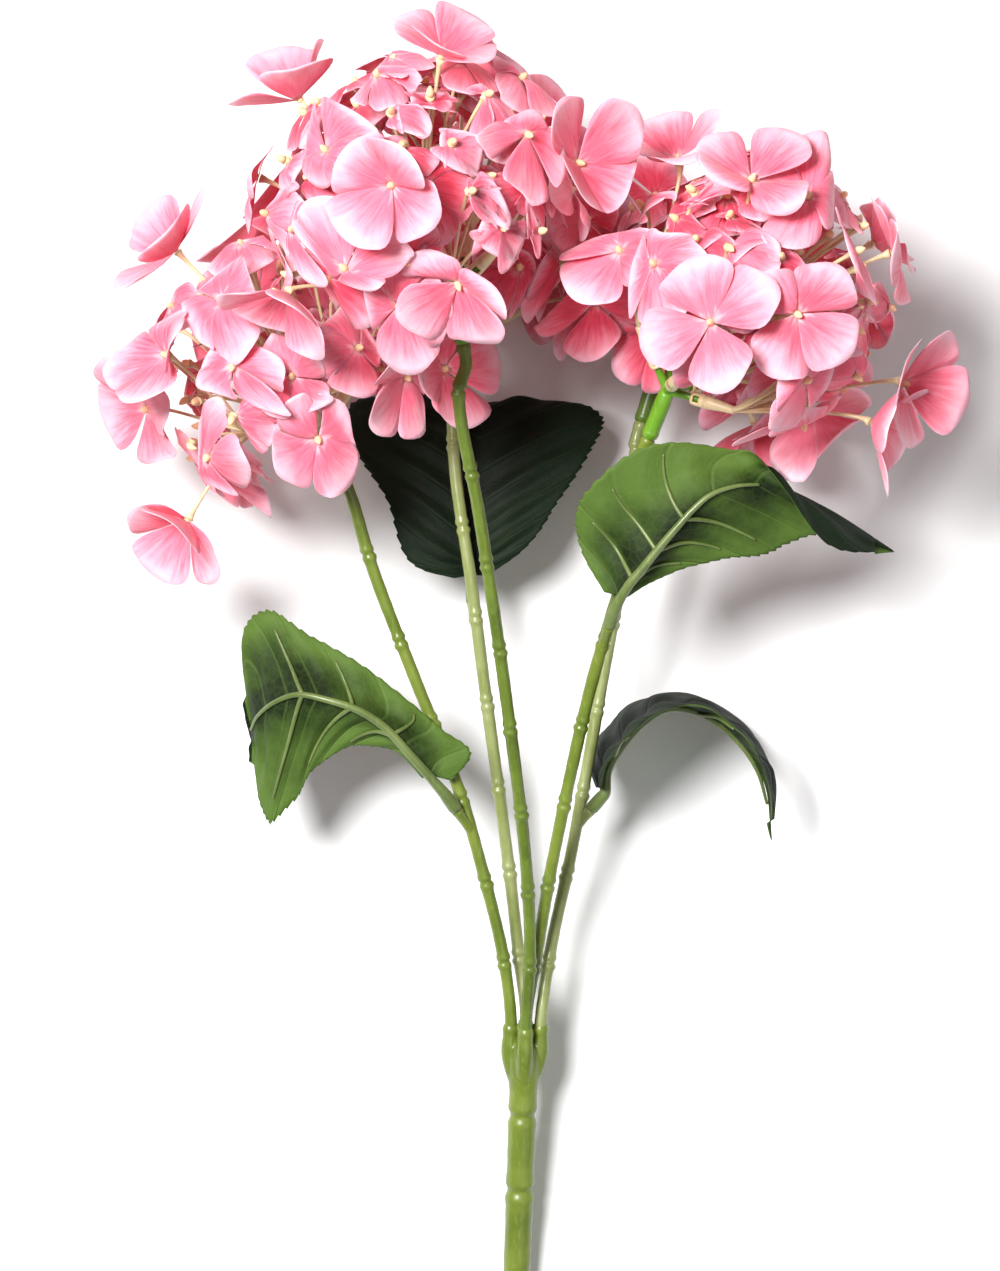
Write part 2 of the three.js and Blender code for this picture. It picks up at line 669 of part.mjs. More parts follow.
for (const leaf of Object.values(LEAVES)) {
  leaf.curves = {};
  for (const name of ["rib", "left", "right"]) {
    leaf.curves[name] = new THREE.CatmullRomCurve3(leaf[name].map(vec), false, "centripetal");
  }
}

const obstacles = Object.values(HEADS).map((head) => ({
  points: [...branchCurve(head).getSpacedPoints(120), vec(head.hub)],
  radius: HUB_RADIUS + FIT,
}));
for (const leaf of Object.values(LEAVES)) {
  const stations = Array.from({ length: 21 }, (_, i) => i / 20);
  const points = stations.flatMap((t) => LATERAL.map((u) => bladePoint(leaf, t, u)));
  obstacles.push({ points, radius: RIB_RADIUS * 2 + RIB_GAP });
}

addNode("trunk", trunkBody(), GREEN_STEM);
for (const [name, head] of Object.entries(HEADS)) {
  const stubs = Object.values(LEAVES).filter((leaf) => leaf.branch === name).map(stubBody);
  const pale = name === "back" || name === "low";
  addNode("branch_" + name, unite([branchBody(head), ...stubs]), pale ? PALE_STEM : GREEN_STEM);
  addNode("hub_" + name, hubBody(head), HUB_GREEN);
  const arms = armDirections(head);
  const groups = arms.map(() => []);
  for (const floret of florets.filter((item) => item.head === head)) {
    const direction = floret.centre.clone().sub(vec(head.hub)).normalize();
    const closeness = arms.map((arm) => arm.dot(direction));
    groups[closeness.indexOf(Math.max(...closeness))].push(floret);
  }
  arms.forEach((arm, i) => {
    addNode("spray_" + name + "_" + (i + 1), sprayBody(head, arm, groups[i], obstacles), PETAL_PINK);
  });
}
for (const [name, leaf] of Object.entries(LEAVES)) {
  addNode("leaf_" + name, bladeBody(leaf), LEAF_GREEN);
  addNode("rib_" + name, ribBody(leaf), RIB_GREEN);
}

// The part's origin is the middle of its footprint on the floor.
const box = new THREE.Box3().setFromObject(nodes, true);
const middle = box.getCenter(new THREE.Vector3());
nodes.position.set(-middle.x, -middle.y, -box.min.z);

export default nodes;
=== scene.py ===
import math

import bpy
import numpy as np
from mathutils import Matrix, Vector


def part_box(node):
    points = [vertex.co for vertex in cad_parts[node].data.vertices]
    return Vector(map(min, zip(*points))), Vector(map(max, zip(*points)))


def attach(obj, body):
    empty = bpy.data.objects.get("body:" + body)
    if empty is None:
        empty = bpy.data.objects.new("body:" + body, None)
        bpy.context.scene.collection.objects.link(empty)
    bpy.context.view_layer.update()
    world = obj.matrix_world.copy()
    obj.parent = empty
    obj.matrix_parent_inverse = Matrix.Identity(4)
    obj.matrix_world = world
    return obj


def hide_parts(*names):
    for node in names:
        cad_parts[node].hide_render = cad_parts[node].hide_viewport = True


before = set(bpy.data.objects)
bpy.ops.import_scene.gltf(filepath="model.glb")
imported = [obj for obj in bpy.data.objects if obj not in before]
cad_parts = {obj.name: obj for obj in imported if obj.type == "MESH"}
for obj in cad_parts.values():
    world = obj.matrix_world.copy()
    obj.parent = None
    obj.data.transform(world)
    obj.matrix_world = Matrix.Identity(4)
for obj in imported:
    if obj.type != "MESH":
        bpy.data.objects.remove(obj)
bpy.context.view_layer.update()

# The artificial hydrangea bunch, lying down. Lengths are millimetres in the CAD source's own
# axes, and SHIFT and MM bring them into the row frame, which is in metres. TRUNK_LOW is the
# low corner of the trunk's box in the source's axes.
MM = 0.001
TRUNK_LOW = np.array([-9.5486, -113.1287, 0.6622])
SHIFT = np.array(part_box("trunk")[0]) / MM - TRUNK_LOW
RNG = np.random.default_rng(7)

FIT = 0.3
TRUNK_CUT = np.array([-3.8, -112, 6.0])
TRUNK_FORK = np.array([0, -1, 29.5])
TRUNK_RADIUS = 6.2
TRUNK_NECK = 4.8
TRUNK_JOINTS = [0.49, 0.76]
COLLAR_LENGTH = 9
FORK_PITCH = 5.9
BRANCH_RADIUS = 2.35
KNUCKLE_PITCH = 34
TIP_RADIUS = 1.6
TIP_LENGTH = 11
HUB_RADIUS = 3.3
HUB_LENGTH = 20
ARM_RADIUS = 1.35
ARM_LENGTH = 14
ARM_SPREAD = 62
SIDE_ARMS = 5
SOCKET_START = 10.4
SOCKET_END = 28
PETAL_LENGTH = 25
PETAL_WIDTH = 25.5
PETAL_GAP = 0.5
BEAD_HEIGHT = 3.2
SHINGLE_STEP = 3
SHINGLE_ANGLES = [60, 77]
# Filler florets: how many to a head, and how far out of its dome the first and last one stand
INNER_COUNT = 42
INNER_SHARES = [0.99, 0.74]
INNER_TRIES = 240
GOLDEN_TURN = 2.39996
# Companions stand between a floret that is this proud of its dome and the head's middle
PROUD = 7
COMPANION_SHARES = [0.72, 0.48]
COMPANION_DROP = 4
COMPANION_ROOM = 11
# The two heads that lie lowest, at the back: their petals and hubs take the materials with painted shade,
# and their stems the pale green
LOW_HEADS = ("back", "low")
# How much florets turn to the top of the bunch, and how much they lean at random
UPWARD_SHARE = 0.5
LEAN = 0.26
# Florets below this level lie deep in their head: they are drawn smaller, on a coarser grid, and take the
# petal materials with painted shade
DEEP_LEVEL = -1.4
SLEEVE_LENGTH = 9

HEADS = {
    "front": dict(
        seat=(0, 1), hub=(-26.4, 287, 134), centre=(-40.5, 321, 149), across=59, along=51,
        path=[(1.9, 36, 45), (0.2, 73, 62), (-7.8, 139, 90), (-17.2, 203, 112), (-25, 250, 127)],
    ),
    "left": dict(
        seat=(-1, 0), hub=(-77.3, 238, 82), centre=(-91, 262, 88), across=52, along=48,
        path=[(-8.3, 34, 37), (-15.5, 65, 46), (-25.5, 100, 55), (-42.7, 144, 64), (-58, 184, 70)],
    ),
    "right": dict(
        seat=(0, 0), hub=(52.8, 251, 118), centre=(84.5, 287, 134), across=53, along=50,
        path=[(5.2, 40, 40), (10.7, 73, 53), (24.1, 137, 78), (31.8, 165, 89), (43, 203, 100)],
    ),
    "back": dict(
        seat=(0, -1), hub=(-26.7, 275, 52), centre=(-22, 311, 57), across=52, along=48,
        path=[(-2.3, 34, 27), (-6.6, 72, 33), (-16.3, 145, 44), (-20.5, 178, 48), (-27, 223, 50)],
    ),
    "low": dict(
        seat=(1, 0), hub=(50.8, 261, 49), centre=(67.4, 284, 52), across=52, along=48,
        path=[(10.2, 38, 31), (17.4, 72, 36), (23.2, 103, 40), (34.3, 166, 46), (44, 210, 48)],
    ),
}

LEAVES = {
    "left": dict(
        branch="left", stub=[(-20.5, 84, 51), (-26.5, 92.5, 58)], rib_end=0.9,
        rib=[(-35, 104, 65), (-48, 119, 71), (-59, 129, 73), (-72, 134, 74), (-86, 137, 71),
             (-97, 133, 64), (-104, 126, 54), (-106, 118, 42)],
        left=[(-30, 102, 63), (-20, 114, 66), (-33, 126, 68), (-59, 147, 69), (-83, 161, 65),
              (-100, 170, 62), (-110, 162, 56), (-106, 118, 42)],
        right=[(-38, 103, 63), (-50, 113, 65), (-66, 115, 65), (-80, 107, 62), (-88, 95, 60),
               (-100, 86, 58), (-105, 96, 50), (-106, 118, 42)],
    ),
    "right": dict(
        branch="right", stub=[(29.2, 155, 85.5), (31.5, 163, 94)], rib_end=0.6,
        rib=[(34, 173, 103), (43, 184, 108), (56, 200, 113), (70, 213, 115), (91, 216, 110),
             (112, 208, 102), (140, 191, 90)],
        left=[(37, 173, 97), (51, 179, 101), (73, 186, 101), (92, 189, 98), (108, 195, 95),
              (122, 194, 94), (140, 191, 90)],
        right=[(31, 173, 98), (18, 195, 101), (20, 210, 112), (46, 230, 121), (80, 227, 114),
               (112, 192, 112), (140, 191, 90)],
    ),
    "back": dict(
        branch="back", stub=[(-19.8, 165, 46), (-20.2, 172, 41)], rib_end=0.9,
        rib=[(-21, 182, 40), (-21, 190, 41), (-21, 204, 40), (-19, 222, 36), (-18, 240, 30),
             (-18, 250, 20), (-17, 248, 7)],
        left=[(-25, 181, 40), (-45, 188, 40), (-54, 212, 37), (-67, 232, 33), (-70, 246, 26),
              (-49, 252, 16), (-17, 248, 7)],
        right=[(-17, 181, 40), (2, 195, 40), (14, 212, 37), (26, 230, 33), (31, 242, 26),
               (14, 249, 16), (-17, 248, 7)],
    ),
    "low": dict(
        branch="low", stub=[(20.5, 86, 37.5), (25.5, 92, 41)], rib_end=0.9,
        rib=[(28.5, 99, 44), (31, 110, 46), (40, 122, 48), (52, 132, 48), (69, 130, 46),
             (84, 118, 43), (93, 102, 40), (96, 79, 36)],
        left=[(28, 99, 40), (28, 109, 20), (34, 120, 9), (45, 131, 6), (65, 133, 8),
              (86, 120, 15), (95, 103, 24), (96, 79, 36)],
        right=[(29, 99, 48), (33, 108, 75), (40, 117, 86), (49, 126, 88), (63, 130, 80),
               (80, 120, 70), (91, 103, 56), (96, 79, 36)],
    ),
}


# Small vector helpers
def arr(p):
    return np.array(p, float)


def unit(v):
    return v / (np.linalg.norm(v) + 1e-12)


def across(v, n):
    return v - (v @ n) * n


def square_to(d):
    helper = arr((0, 0, 1)) if abs(d[2]) < 0.9 else arr((1, 0, 0))
    return unit(across(helper, d))


def srgb(r, g, b):
    channel = lambda c: c / 12.92 if c <= 0.04045 else ((c + 0.055) / 1.055) ** 2.4
    return (channel(r / 255), channel(g / 255), channel(b / 255), 1)


def catmull(points, t):
    """A centripetal Catmull-Rom curve through points, at t from 0 to 1."""
    last = len(points) - 1
    place = last * t
    i = min(int(place), last - 1)
    w = place - i
    p1, p2 = points[i], points[i + 1]
    p0 = points[i - 1] if i > 0 else 2 * p1 - p2
    p3 = points[i + 2] if i + 2 <= last else 2 * p2 - p1
    d0, d1, d2 = (max(np.linalg.norm(b - a), 1e-6) ** 0.5 for a, b in ((p0, p1), (p1, p2), (p2, p3)))
    m1 = ((p1 - p0) / d0 - (p2 - p0) / (d0 + d1) + (p2 - p1) / d1) * d1
    m2 = ((p2 - p1) / d1 - (p3 - p1) / (d1 + d2) + (p3 - p2) / d2) * d1
    return p1 + m1 * w + (3 * (p2 - p1) - 2 * m1 - m2) * w**2 + (2 * (p1 - p2) + m1 + m2) * w**3


def by_length(points, count=1200):
    """Samples of the curve and their distances from its start."""
    line = arr([catmull(points, i / (count - 1)) for i in range(count)])
    gaps = np.linalg.norm(np.diff(line, axis=0), axis=1)
    return line, np.concatenate([[0], np.cumsum(gaps)])


def at_length(line, lengths, s):
    return np.stack([np.interp(s, lengths, line[:, k]) for k in range(3)], axis=-1)


# A mesh gathered from parts, with two pairs of values at each vertex for the materials.
class Gather:
    def __init__(self):
        self.verts, self.faces, self.mats, self.one, self.two = [], [], [], [], []
        self.count = 0

    def add(self, verts, faces, mat=0, one=None, two=None):
        verts = np.asarray(verts, float).reshape(-1, 3)
        zero = np.zeros((len(verts), 2))
        self.verts.append(verts)
        self.faces += [[i + self.count for i in face] for face in faces]
        self.mats += [mat] * len(faces) if isinstance(mat, int) else list(mat)
        self.one.append(zero if one is None else one)
        self.two.append(zero if two is None else two)
        self.count += len(verts)

    def build(self, name, materials, nodes, slot):
        mesh = bpy.data.meshes.new(name)
        verts = (np.concatenate(self.verts) + SHIFT) * MM
        mesh.from_pydata(verts.tolist(), [], self.faces)
        loops = np.zeros(len(mesh.loops), int)
        mesh.loops.foreach_get("vertex_index", loops)
        for label, values in (("one", self.one), ("two", self.two)):
            layer = mesh.uv_layers.new(name=label)
            layer.data.foreach_set("uv", np.concatenate(values)[loops].astype(np.float32).ravel())
        for material in materials:
            mesh.materials.append(material)
        mesh.polygons.foreach_set("material_index", self.mats)
        mesh.polygons.foreach_set("use_smooth", [True] * len(self.faces))
        mesh.update()
        obj = bpy.data.objects.new(name, mesh)
        bpy.context.scene.collection.objects.link(obj)
        return settle(obj, nodes)


def settle(obj, nodes):
    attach(obj, "root")
    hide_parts(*nodes)
    return obj


def tube(points, radii, sides, bulge=None, caps=(0, 0)):
    """Rings round points.

    bulge(k, turns) scales a ring's radius, and caps are how far each end's tip stands out.
    """
    points = np.asarray(points, float)
    side = square_to(unit(points[1] - points[0]))
    turns = np.arange(sides) * 2 * math.pi / sides
    rings, spots = [], []
    for k, point in enumerate(points):
        travel = unit(points[min(k + 1, len(points) - 1)] - points[max(k - 1, 0)])
        side = unit(across(side, travel))
        up = np.cross(travel, side)
        radius = np.full(sides, radii[k])
        if bulge is not None:
            radius = radius * bulge(k, turns)
        rings.append(point + radius[:, None] * (np.cos(turns)[:, None] * side + np.sin(turns)[:, None] * up))
        spots.append(np.stack([turns / (2 * math.pi), np.full(sides, k / (len(points) - 1))], axis=1))
    first = points[0] - unit(points[1] - points[0]) * caps[0]
    last = points[-1] + unit(points[-1] - points[-2]) * caps[1]
    verts = np.concatenate([*rings, [first, last]])
    spots = np.concatenate([*spots, [[0.5, 0], [0.5, 1]]])
    faces, end, n = [], len(points) * sides, len(points)
    for i in range(sides):
        j = (i + 1) % sides
        faces.append((end, j, i))
        faces.append((end + 1, (n - 1) * sides + i, (n - 1) * sides + j))
        for k in range(0, (n - 1) * sides, sides):
            faces.append((k + i, k + j, k + sides + j, k + sides + i))
    return verts, faces, spots


def fused(obj, voxel, rounds):
    """Joins an object's overlapping closed parts in one smooth skin."""
    remesh = obj.modifiers.new("fuse", "REMESH")
    remesh.mode, remesh.voxel_size, remesh.use_smooth_shade = "VOXEL", voxel * MM, True
    smooth = obj.modifiers.new("smooth", "SMOOTH")
    smooth.factor, smooth.iterations = 0.5, rounds
    deps = bpy.context.evaluated_depsgraph_get()
    made = bpy.data.meshes.new_from_object(obj.evaluated_get(deps))
    old = obj.data
    obj.modifiers.clear()
    obj.data = made
    if not made.materials:
        for material in old.materials:
            made.materials.append(material)
    return obj


# Materials
def material(name, roughness, subsurface=0.0, radius=(1, 0.4, 0.25), coat=0.0, sheen=0.0):
    made = bpy.data.materials.new(name)
    made.use_nodes = True
    shader = made.node_tree.nodes["Principled BSDF"]
    shader.inputs["Roughness"].default_value = roughness
    shader.inputs["Subsurface Weight"].default_value = subsurface
    shader.inputs["Subsurface Radius"].default_value = radius
    shader.inputs["Subsurface Scale"].default_value = 0.0015
    shader.inputs["Coat Weight"].default_value = coat
    shader.inputs["Coat Roughness"].default_value = 0.2
    shader.inputs["Sheen Weight"].default_value = sheen
    return made, Nodes(made.node_tree), shader


class Nodes:
    def __init__(self, tree):
        self.tree = tree

    def new(self, kind, inputs=(), **settings):
        node = self.tree.nodes.new(kind)
        for key, value in settings.items():
            setattr(node, key, value)
        for key, value in dict(inputs).items():
            self.put(node.inputs[key], value)
        return node

    def put(self, socket, value):
        if isinstance(value, bpy.types.NodeSocket):
            self.tree.links.new(value, socket)
        else:
            socket.default_value = value

    def uv(self, label):
        split = self.new("ShaderNodeSeparateXYZ", {0: self.new("ShaderNodeUVMap", uv_map=label).outputs[0]})
        return split.outputs[0], split.outputs[1]

    def math(self, operation, a, b=0.0, clamp=False):
        return self.new("ShaderNodeMath", {0: a, 1: b}, operation=operation, use_clamp=clamp).outputs[0]

    def ramp(self, value, stops):
        node = self.new("ShaderNodeValToRGB", {0: value})
        elements = node.color_ramp.elements
        while len(elements) < len(stops):
            elements.new(0.5)
        for element, (place, colour) in zip(elements, stops):
            element.position = place
            element.color = colour
        return node.outputs[0]

    def mix(self, share, a, b, kind="MIX"):
        node = self.new("ShaderNodeMix", data_type="RGBA", blend_type=kind)
        self.put(node.inputs[0], share)
        self.put(node.inputs[6], a)
        self.put(node.inputs[7], b)
        return node.outputs[2]

    def noise(self, vector, scale, detail=2.0, rough=0.5):
        inputs = {"Vector": vector, "Scale": scale, "Detail": detail, "Roughness": rough}
        return self.new("ShaderNodeTexNoise", inputs).outputs[0]

    def vector(self, x, y, z=0.0):
        return self.new("ShaderNodeCombineXYZ", {0: x, 1: y, 2: z}).outputs[0]

    def bump(self, shader, height, strength, distance):
        node = self.new("ShaderNodeBump", {"Height": height, "Strength": strength, "Distance": distance})
        self.put(shader.inputs["Normal"], node.outputs[0])


def grey(value):
    return (value, value, value, 1)


def petal_material(name, base, middle, outer, rim, vein, vein_strength):
    """Streaked cloth, with the UV map one as the place across the fan and along the petal.

    The map two holds a chance value for the petal and the distance from its rim.
    """
    made, n, shader = material(name, 0.62, subsurface=0.4, radius=(1.0, 0.32, 0.34), sheen=0.1)
    fan, along = n.uv("one")
    chance, inside = n.uv("two")
    place = n.vector(n.math("MULTIPLY", fan, 1.6), along, n.math("MULTIPLY", chance, 37.0))
    wobble = n.noise(place, 2.4, 3.0)
    reach = n.math("ADD", along, n.math("MULTIPLY", n.math("SUBTRACT", wobble, 0.5), 0.5))
    body = n.ramp(reach, [(0.02, base), (0.16, middle), (0.38, middle), (0.66, outer), (0.95, rim)])
    drawn = [n.math("MULTIPLY", value, scale) for value, scale in ((fan, 5.0), (along, 1.1), (chance, 91.0))]
    streak = n.noise(n.vector(*drawn), 1.9, 4.0, 0.6)
    lines = n.ramp(streak, [(0.42, grey(0)), (0.72, grey(1))])
    fade = n.ramp(along, [(0.05, grey(0.1)), (0.3, grey(1)), (0.62, grey(0.75)), (0.95, grey(0))])
    share = n.math("MULTIPLY", n.math("MULTIPLY", lines, fade), vein_strength, True)
    depth = n.ramp(chance, [(0.0, grey(0.55)), (1.0, grey(1))])
    body = n.mix(n.math("MULTIPLY", share, depth), body, vein)
    edge = n.ramp(inside, [(0.0, grey(1)), (0.04, grey(0.55)), (0.16, grey(0))])
    body = n.mix(n.math("MULTIPLY", edge, 0.35), body, rim)
    n.put(shader.inputs["Base Color"], body)
    weave = n.noise(n.new("ShaderNodeTexCoord").outputs["Object"], 1400.0, 1.0)
    relief = n.math("ADD", n.math("MULTIPLY", lines, -0.6), n.math("MULTIPLY", weave, 0.25))
    n.bump(shader, relief, 0.35, 0.0004)
    return made


PETAL = petal_material(
    "petal_front", srgb(247, 182, 190), srgb(240, 112, 137), srgb(246, 152, 171),
    srgb(248, 188, 202), srgb(224, 40, 74), 0.85,
)
PETAL_BACK = petal_material(
    "petal_back", srgb(236, 160, 172), srgb(228, 108, 134), srgb(238, 148, 168),
    srgb(250, 208, 220), srgb(206, 62, 92), 0.4,
)

# Darker copies of the petal colours, front and back: painted shade for florets deep in a head and for the
# low heads
PETAL_PAINTED_SHADE = petal_material(
    "petal_painted_shade", srgb(238, 150, 160), srgb(222, 70, 98), srgb(234, 118, 140),
    srgb(246, 178, 194), srgb(186, 14, 40), 0.8,
)
PETAL_PAINTED_SHADE_BACK = petal_material(
    "petal_painted_shade_back", srgb(214, 112, 126), srgb(200, 70, 94), srgb(214, 104, 124),
    srgb(238, 172, 188), srgb(160, 24, 48), 0.4,
)


def stem_material(name, colour, shade, light):
    made, n, shader = material(name, 0.36, subsurface=0.12, radius=(0.6, 1.0, 0.2), coat=0.15)
    where = n.new("ShaderNodeTexCoord").outputs["Object"]
    blotch = n.noise(where, 60.0, 3.0)
    drawn = n.new("ShaderNodeMapping", {"Vector": where, "Scale": (900.0, 45.0, 900.0)}).outputs[0]
    fine = n.noise(drawn, 1.0, 3.0)
    body = n.mix(n.ramp(blotch, [(0.35, grey(0)), (0.65, grey(1))]), shade, colour)
    body = n.mix(n.math("MULTIPLY", n.ramp(fine, [(0.55, grey(0)), (0.75, grey(1))]), 0.35), body, light)
    n.put(shader.inputs["Base Color"], body)
    rough = n.ramp(blotch, [(0.3, grey(0.3)), (0.7, grey(0.46))])
    n.put(shader.inputs["Roughness"], rough)
    n.bump(shader, fine, 0.25, 0.0003)
    return made


STEM = stem_material("stem_green", srgb(112, 128, 42), srgb(92, 110, 32), srgb(148, 160, 84))
STEM_DARK = stem_material("stem_deep", srgb(98, 118, 34), srgb(80, 98, 26), srgb(132, 148, 68))
STEM_PALE = stem_material("stem_pale", srgb(146, 154, 98), srgb(124, 134, 74), srgb(176, 180, 134))
HUB = stem_material("hub_green", srgb(104, 154, 30), srgb(84, 128, 22), srgb(142, 186, 70))
# A darker copy of the hub green: painted shade for the hubs of the low heads
HUB_PAINTED_SHADE = stem_material("hub_painted_shade", srgb(88, 118, 34), srgb(70, 96, 26), srgb(120, 146, 60))
CREAM = stem_material("cream", srgb(226, 208, 164), srgb(212, 184, 142), srgb(240, 230, 196))
RIB = stem_material("leaf_rib", srgb(106, 122, 66), srgb(84, 100, 48), srgb(134, 146, 94))


def bead_material():
    made, n, shader = material("bead", 0.6, subsurface=0.3, radius=(1, 0.7, 0.4))
    blotch = n.noise(n.new("ShaderNodeTexCoord").outputs["Object"], 500.0, 2.0)
    n.put(shader.inputs["Base Color"], n.mix(blotch, srgb(240, 190, 140), srgb(246, 214, 176)))
    return made


BEAD = bead_material()


def leaf_material(name, low, high, vein, vein_share, roughness, sheen):
    made, n, shader = material(name, roughness, subsurface=0.05, radius=(0.4, 1.0, 0.2), sheen=sheen)
    shader.inputs["Specular IOR Level"].default_value = 0.18
    along, wide = n.uv("one")
    beside = n.math("ABSOLUTE", n.math("SUBTRACT", n.math("MULTIPLY", wide, 2.0), 1.0))
    swept = n.math("SUBTRACT", along, n.math("MULTIPLY", beside, 0.17))
    phase = n.math("FRACT", n.math("MULTIPLY", swept, 8.0))
    line = n.math("ABSOLUTE", n.math("SUBTRACT", phase, 0.5))
    veins = n.ramp(line, [(0.0, grey(0)), (0.43, grey(0)), (0.5, grey(1))])
    where = n.new("ShaderNodeTexCoord").outputs["Object"]
    web = n.new("ShaderNodeTexVoronoi", {"Vector": where, "Scale": 260.0}, feature="DISTANCE_TO_EDGE")
    net = n.ramp(web.outputs[0], [(0.0, grey(1)), (0.14, grey(0))])
    blotch = n.noise(where, 30.0, 4.0)
    # Painted shade: the low colour lies along the midrib and in noise blotches, where the folds fall in
    # shade; the high colour is the lit green
    away_from_painted_shade = n.math("ADD", n.math("MULTIPLY", beside, 0.55), n.math("MULTIPLY", blotch, 1.1))
    body = n.mix(n.ramp(away_from_painted_shade, [(0.58, grey(0)), (0.98, grey(1))]), low, high)
    body = n.mix(n.math("MULTIPLY", veins, vein_share), body, vein)
    body = n.mix(n.math("MULTIPLY", net, vein_share * 0.25), body, vein)
    n.put(shader.inputs["Base Color"], body)
    ripples = n.noise(n.vector(n.math("MULTIPLY", swept, 60.0), n.math("MULTIPLY", wide, 9.0)), 1.0, 3.0)
    fine = n.math("ADD", n.math("MULTIPLY", net, -0.12), n.math("MULTIPLY", ripples, 0.8))
    relief = n.math("ADD", n.math("MULTIPLY", veins, -0.8), fine)
    n.bump(shader, relief, 0.6, 0.0006)
    return made


# For each leaf side the first colour is painted shade, laid along the midrib and in blotches, and the second
# is the lit green
LEAF_UPPER = leaf_material(
    "leaf_upper", srgb(5, 14, 5), srgb(14, 30, 12), srgb(28, 46, 22), 0.35, 0.66, 0.0
)
LEAF_UNDER = leaf_material(
    "leaf_under", srgb(20, 34, 8), srgb(78, 103, 40), srgb(92, 116, 54), 0.35, 0.66, 0.0
)


# Where things are: the same rules as the CAD source
TRUNK_AXIS = unit(TRUNK_FORK - TRUNK_CUT)
TRUNK_SIDE = arr((1, 0, 0))
TRUNK_UP = np.cross(TRUNK_SIDE, TRUNK_AXIS)


def seat_of(head):
    return TRUNK_FORK + TRUNK_SIDE * head["seat"][0] * FORK_PITCH + TRUNK_UP * head["seat"][1] * FORK_PITCH


def hub_axis(head):
    hub = arr(head["hub"])
    arriving = unit(hub - arr(head["path"][-1]))
    leaving = unit(arr(head["centre"]) - hub)
    return unit(arriving * 2 + leaving)


def branch_line(head):
    seat, hub, axis = seat_of(head), arr(head["hub"]), hub_axis(head)
    start = [seat + TRUNK_AXIS * FIT, seat + TRUNK_AXIS * (COLLAR_LENGTH + 3)]
    end = [hub - axis * t for t in (HUB_LENGTH + 8, HUB_LENGTH, HUB_LENGTH - TIP_LENGTH)]
    return by_length([*start, *map(arr, head["path"]), *end])


def arm_directions(head):
    axis = unit(arr(head["centre"]) - arr(head["hub"]))
    side = square_to(axis)
    tilt = math.radians(ARM_SPREAD)
    made = [axis]
    for i in range(SIDE_ARMS):
        turn = 2 * math.pi * i / SIDE_ARMS
        outward = side * math.cos(turn) + np.cross(axis, side) * math.sin(turn)
        made.append(axis * math.cos(tilt) + outward * math.sin(tilt))
    return made


def on_head(head, direction):
    axis = unit(arr(head["centre"]) - arr(head["hub"]))
    lean = (direction @ axis) ** 2
    return 1 / math.sqrt(lean / head["along"] ** 2 + (1 - lean) / head["across"] ** 2)


# Florets, read back from the CAD: each bead there is a four-sided point.
def read_florets(node):
    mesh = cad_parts[node].data
    co = np.zeros(len(mesh.vertices) * 3)
    mesh.vertices.foreach_get("co", co)
    co = co.reshape(-1, 3) / MM - SHIFT
    keys = {}
    index = [keys.setdefault(tuple(np.round(p, 2)), len(keys)) for p in co]
    spots = arr(list(keys))
    around = {}
    for polygon in mesh.polygons:
        corners = [index[i] for i in polygon.vertices]
        if len(set(corners)) == 3:
            for corner in corners:
                around.setdefault(corner, []).append(corners)
    found = []
    for tip, faces in around.items():
        if len(faces) != 4:
            continue
        normals = arr([unit(np.cross(spots[b] - spots[a], spots[c] - spots[a])) for a, b, c in faces])
        axis = unit(normals.sum(0))
        if np.abs(normals @ axis - 0.3516).max() > 0.02:
            continue
        ring = sorted({i for face in faces for i in face} - {tip})
        heights = (spots[tip] - spots[ring]) @ axis
        if len(ring) != 4 or np.abs(heights - BEAD_HEIGHT).max() > 0.1:
            continue
        east = unit(across(spots[ring[0]] - spots[tip], axis))
        found.append(dict(centre=spots[tip] - axis * (BEAD_HEIGHT + 0.45), facing=axis, east=east))
    return found


FLORETS = []
for head_name, head in HEADS.items():
    for number, arm in enumerate(arm_directions(head), 1):
        for floret in read_florets(f"spray_{head_name}_{number}"):
            offset = floret["centre"] - arr(head["centre"])
            level = (np.linalg.norm(offset) - on_head(head, unit(offset))) / SHINGLE_STEP
            floret.update(head=head_name, spray=number, level=float(np.clip(level, -1, 1)))
            FLORETS.append(floret)
FLORETS.sort(key=lambda f: tuple(np.round(f["centre"], 1)))


def turned_up(floret):
    """The same floret, turned towards the top of the lying bunch unless it faces the floor."""
    facing = floret["facing"]
    share = UPWARD_SHARE * np.clip((facing[2] + 0.5) / 0.4, 0, 1)
    facing = unit(facing + arr((0, 0, share)))
    return dict(floret, facing=facing, east=unit(across(floret["east"], facing)))


def inner_florets(name, head):
    """Smaller florets deeper in the head, in the widest gaps between the outer ones."""
    axis = unit(arr(head["centre"]) - arr(head["hub"]))
    offsets = [f["centre"] - arr(head["centre"]) for f in FLORETS if f["head"] == name]
    outer = [unit(o) for o in offsets if np.linalg.norm(o) < on_head(head, unit(o)) + PROUD]
    found = []
    tries = []
    for i in range(INNER_TRIES):
        z = 1 - 2 * (i + 0.5) / INNER_TRIES
        turn = i * GOLDEN_TURN
        ring = math.sqrt(1 - z * z)
        tries.append(arr((ring * math.cos(turn), ring * math.sin(turn), z)))
    while len(found) < INNER_COUNT:
        taken = [f["facing"] for f in found]
        gap = lambda d, o: math.acos(np.clip(d @ o, -1, 1))
        room = lambda d: min([gap(d, o) for o in outer] + [0.62 * gap(d, o) for o in taken])
        place = max((d for d in tries if d @ axis > -0.35), key=room)
        share = np.interp(len(found), [0, INNER_COUNT - 1], INNER_SHARES)
        centre = arr(head["centre"]) + place * on_head(head, place) * share
        arms = [arm @ unit(centre - arr(head["hub"])) for arm in arm_directions(head)]
        spray = int(np.argmax(arms)) + 1
        tries = [d for d in tries if d @ place < 0.999]
        if centre[2] > 10:
            level = -0.5 - 0.15 * len(found)
            east = square_to(place)
            found.append(dict(centre=centre, facing=place, east=east, head=name, spray=spray, level=level))
    return found


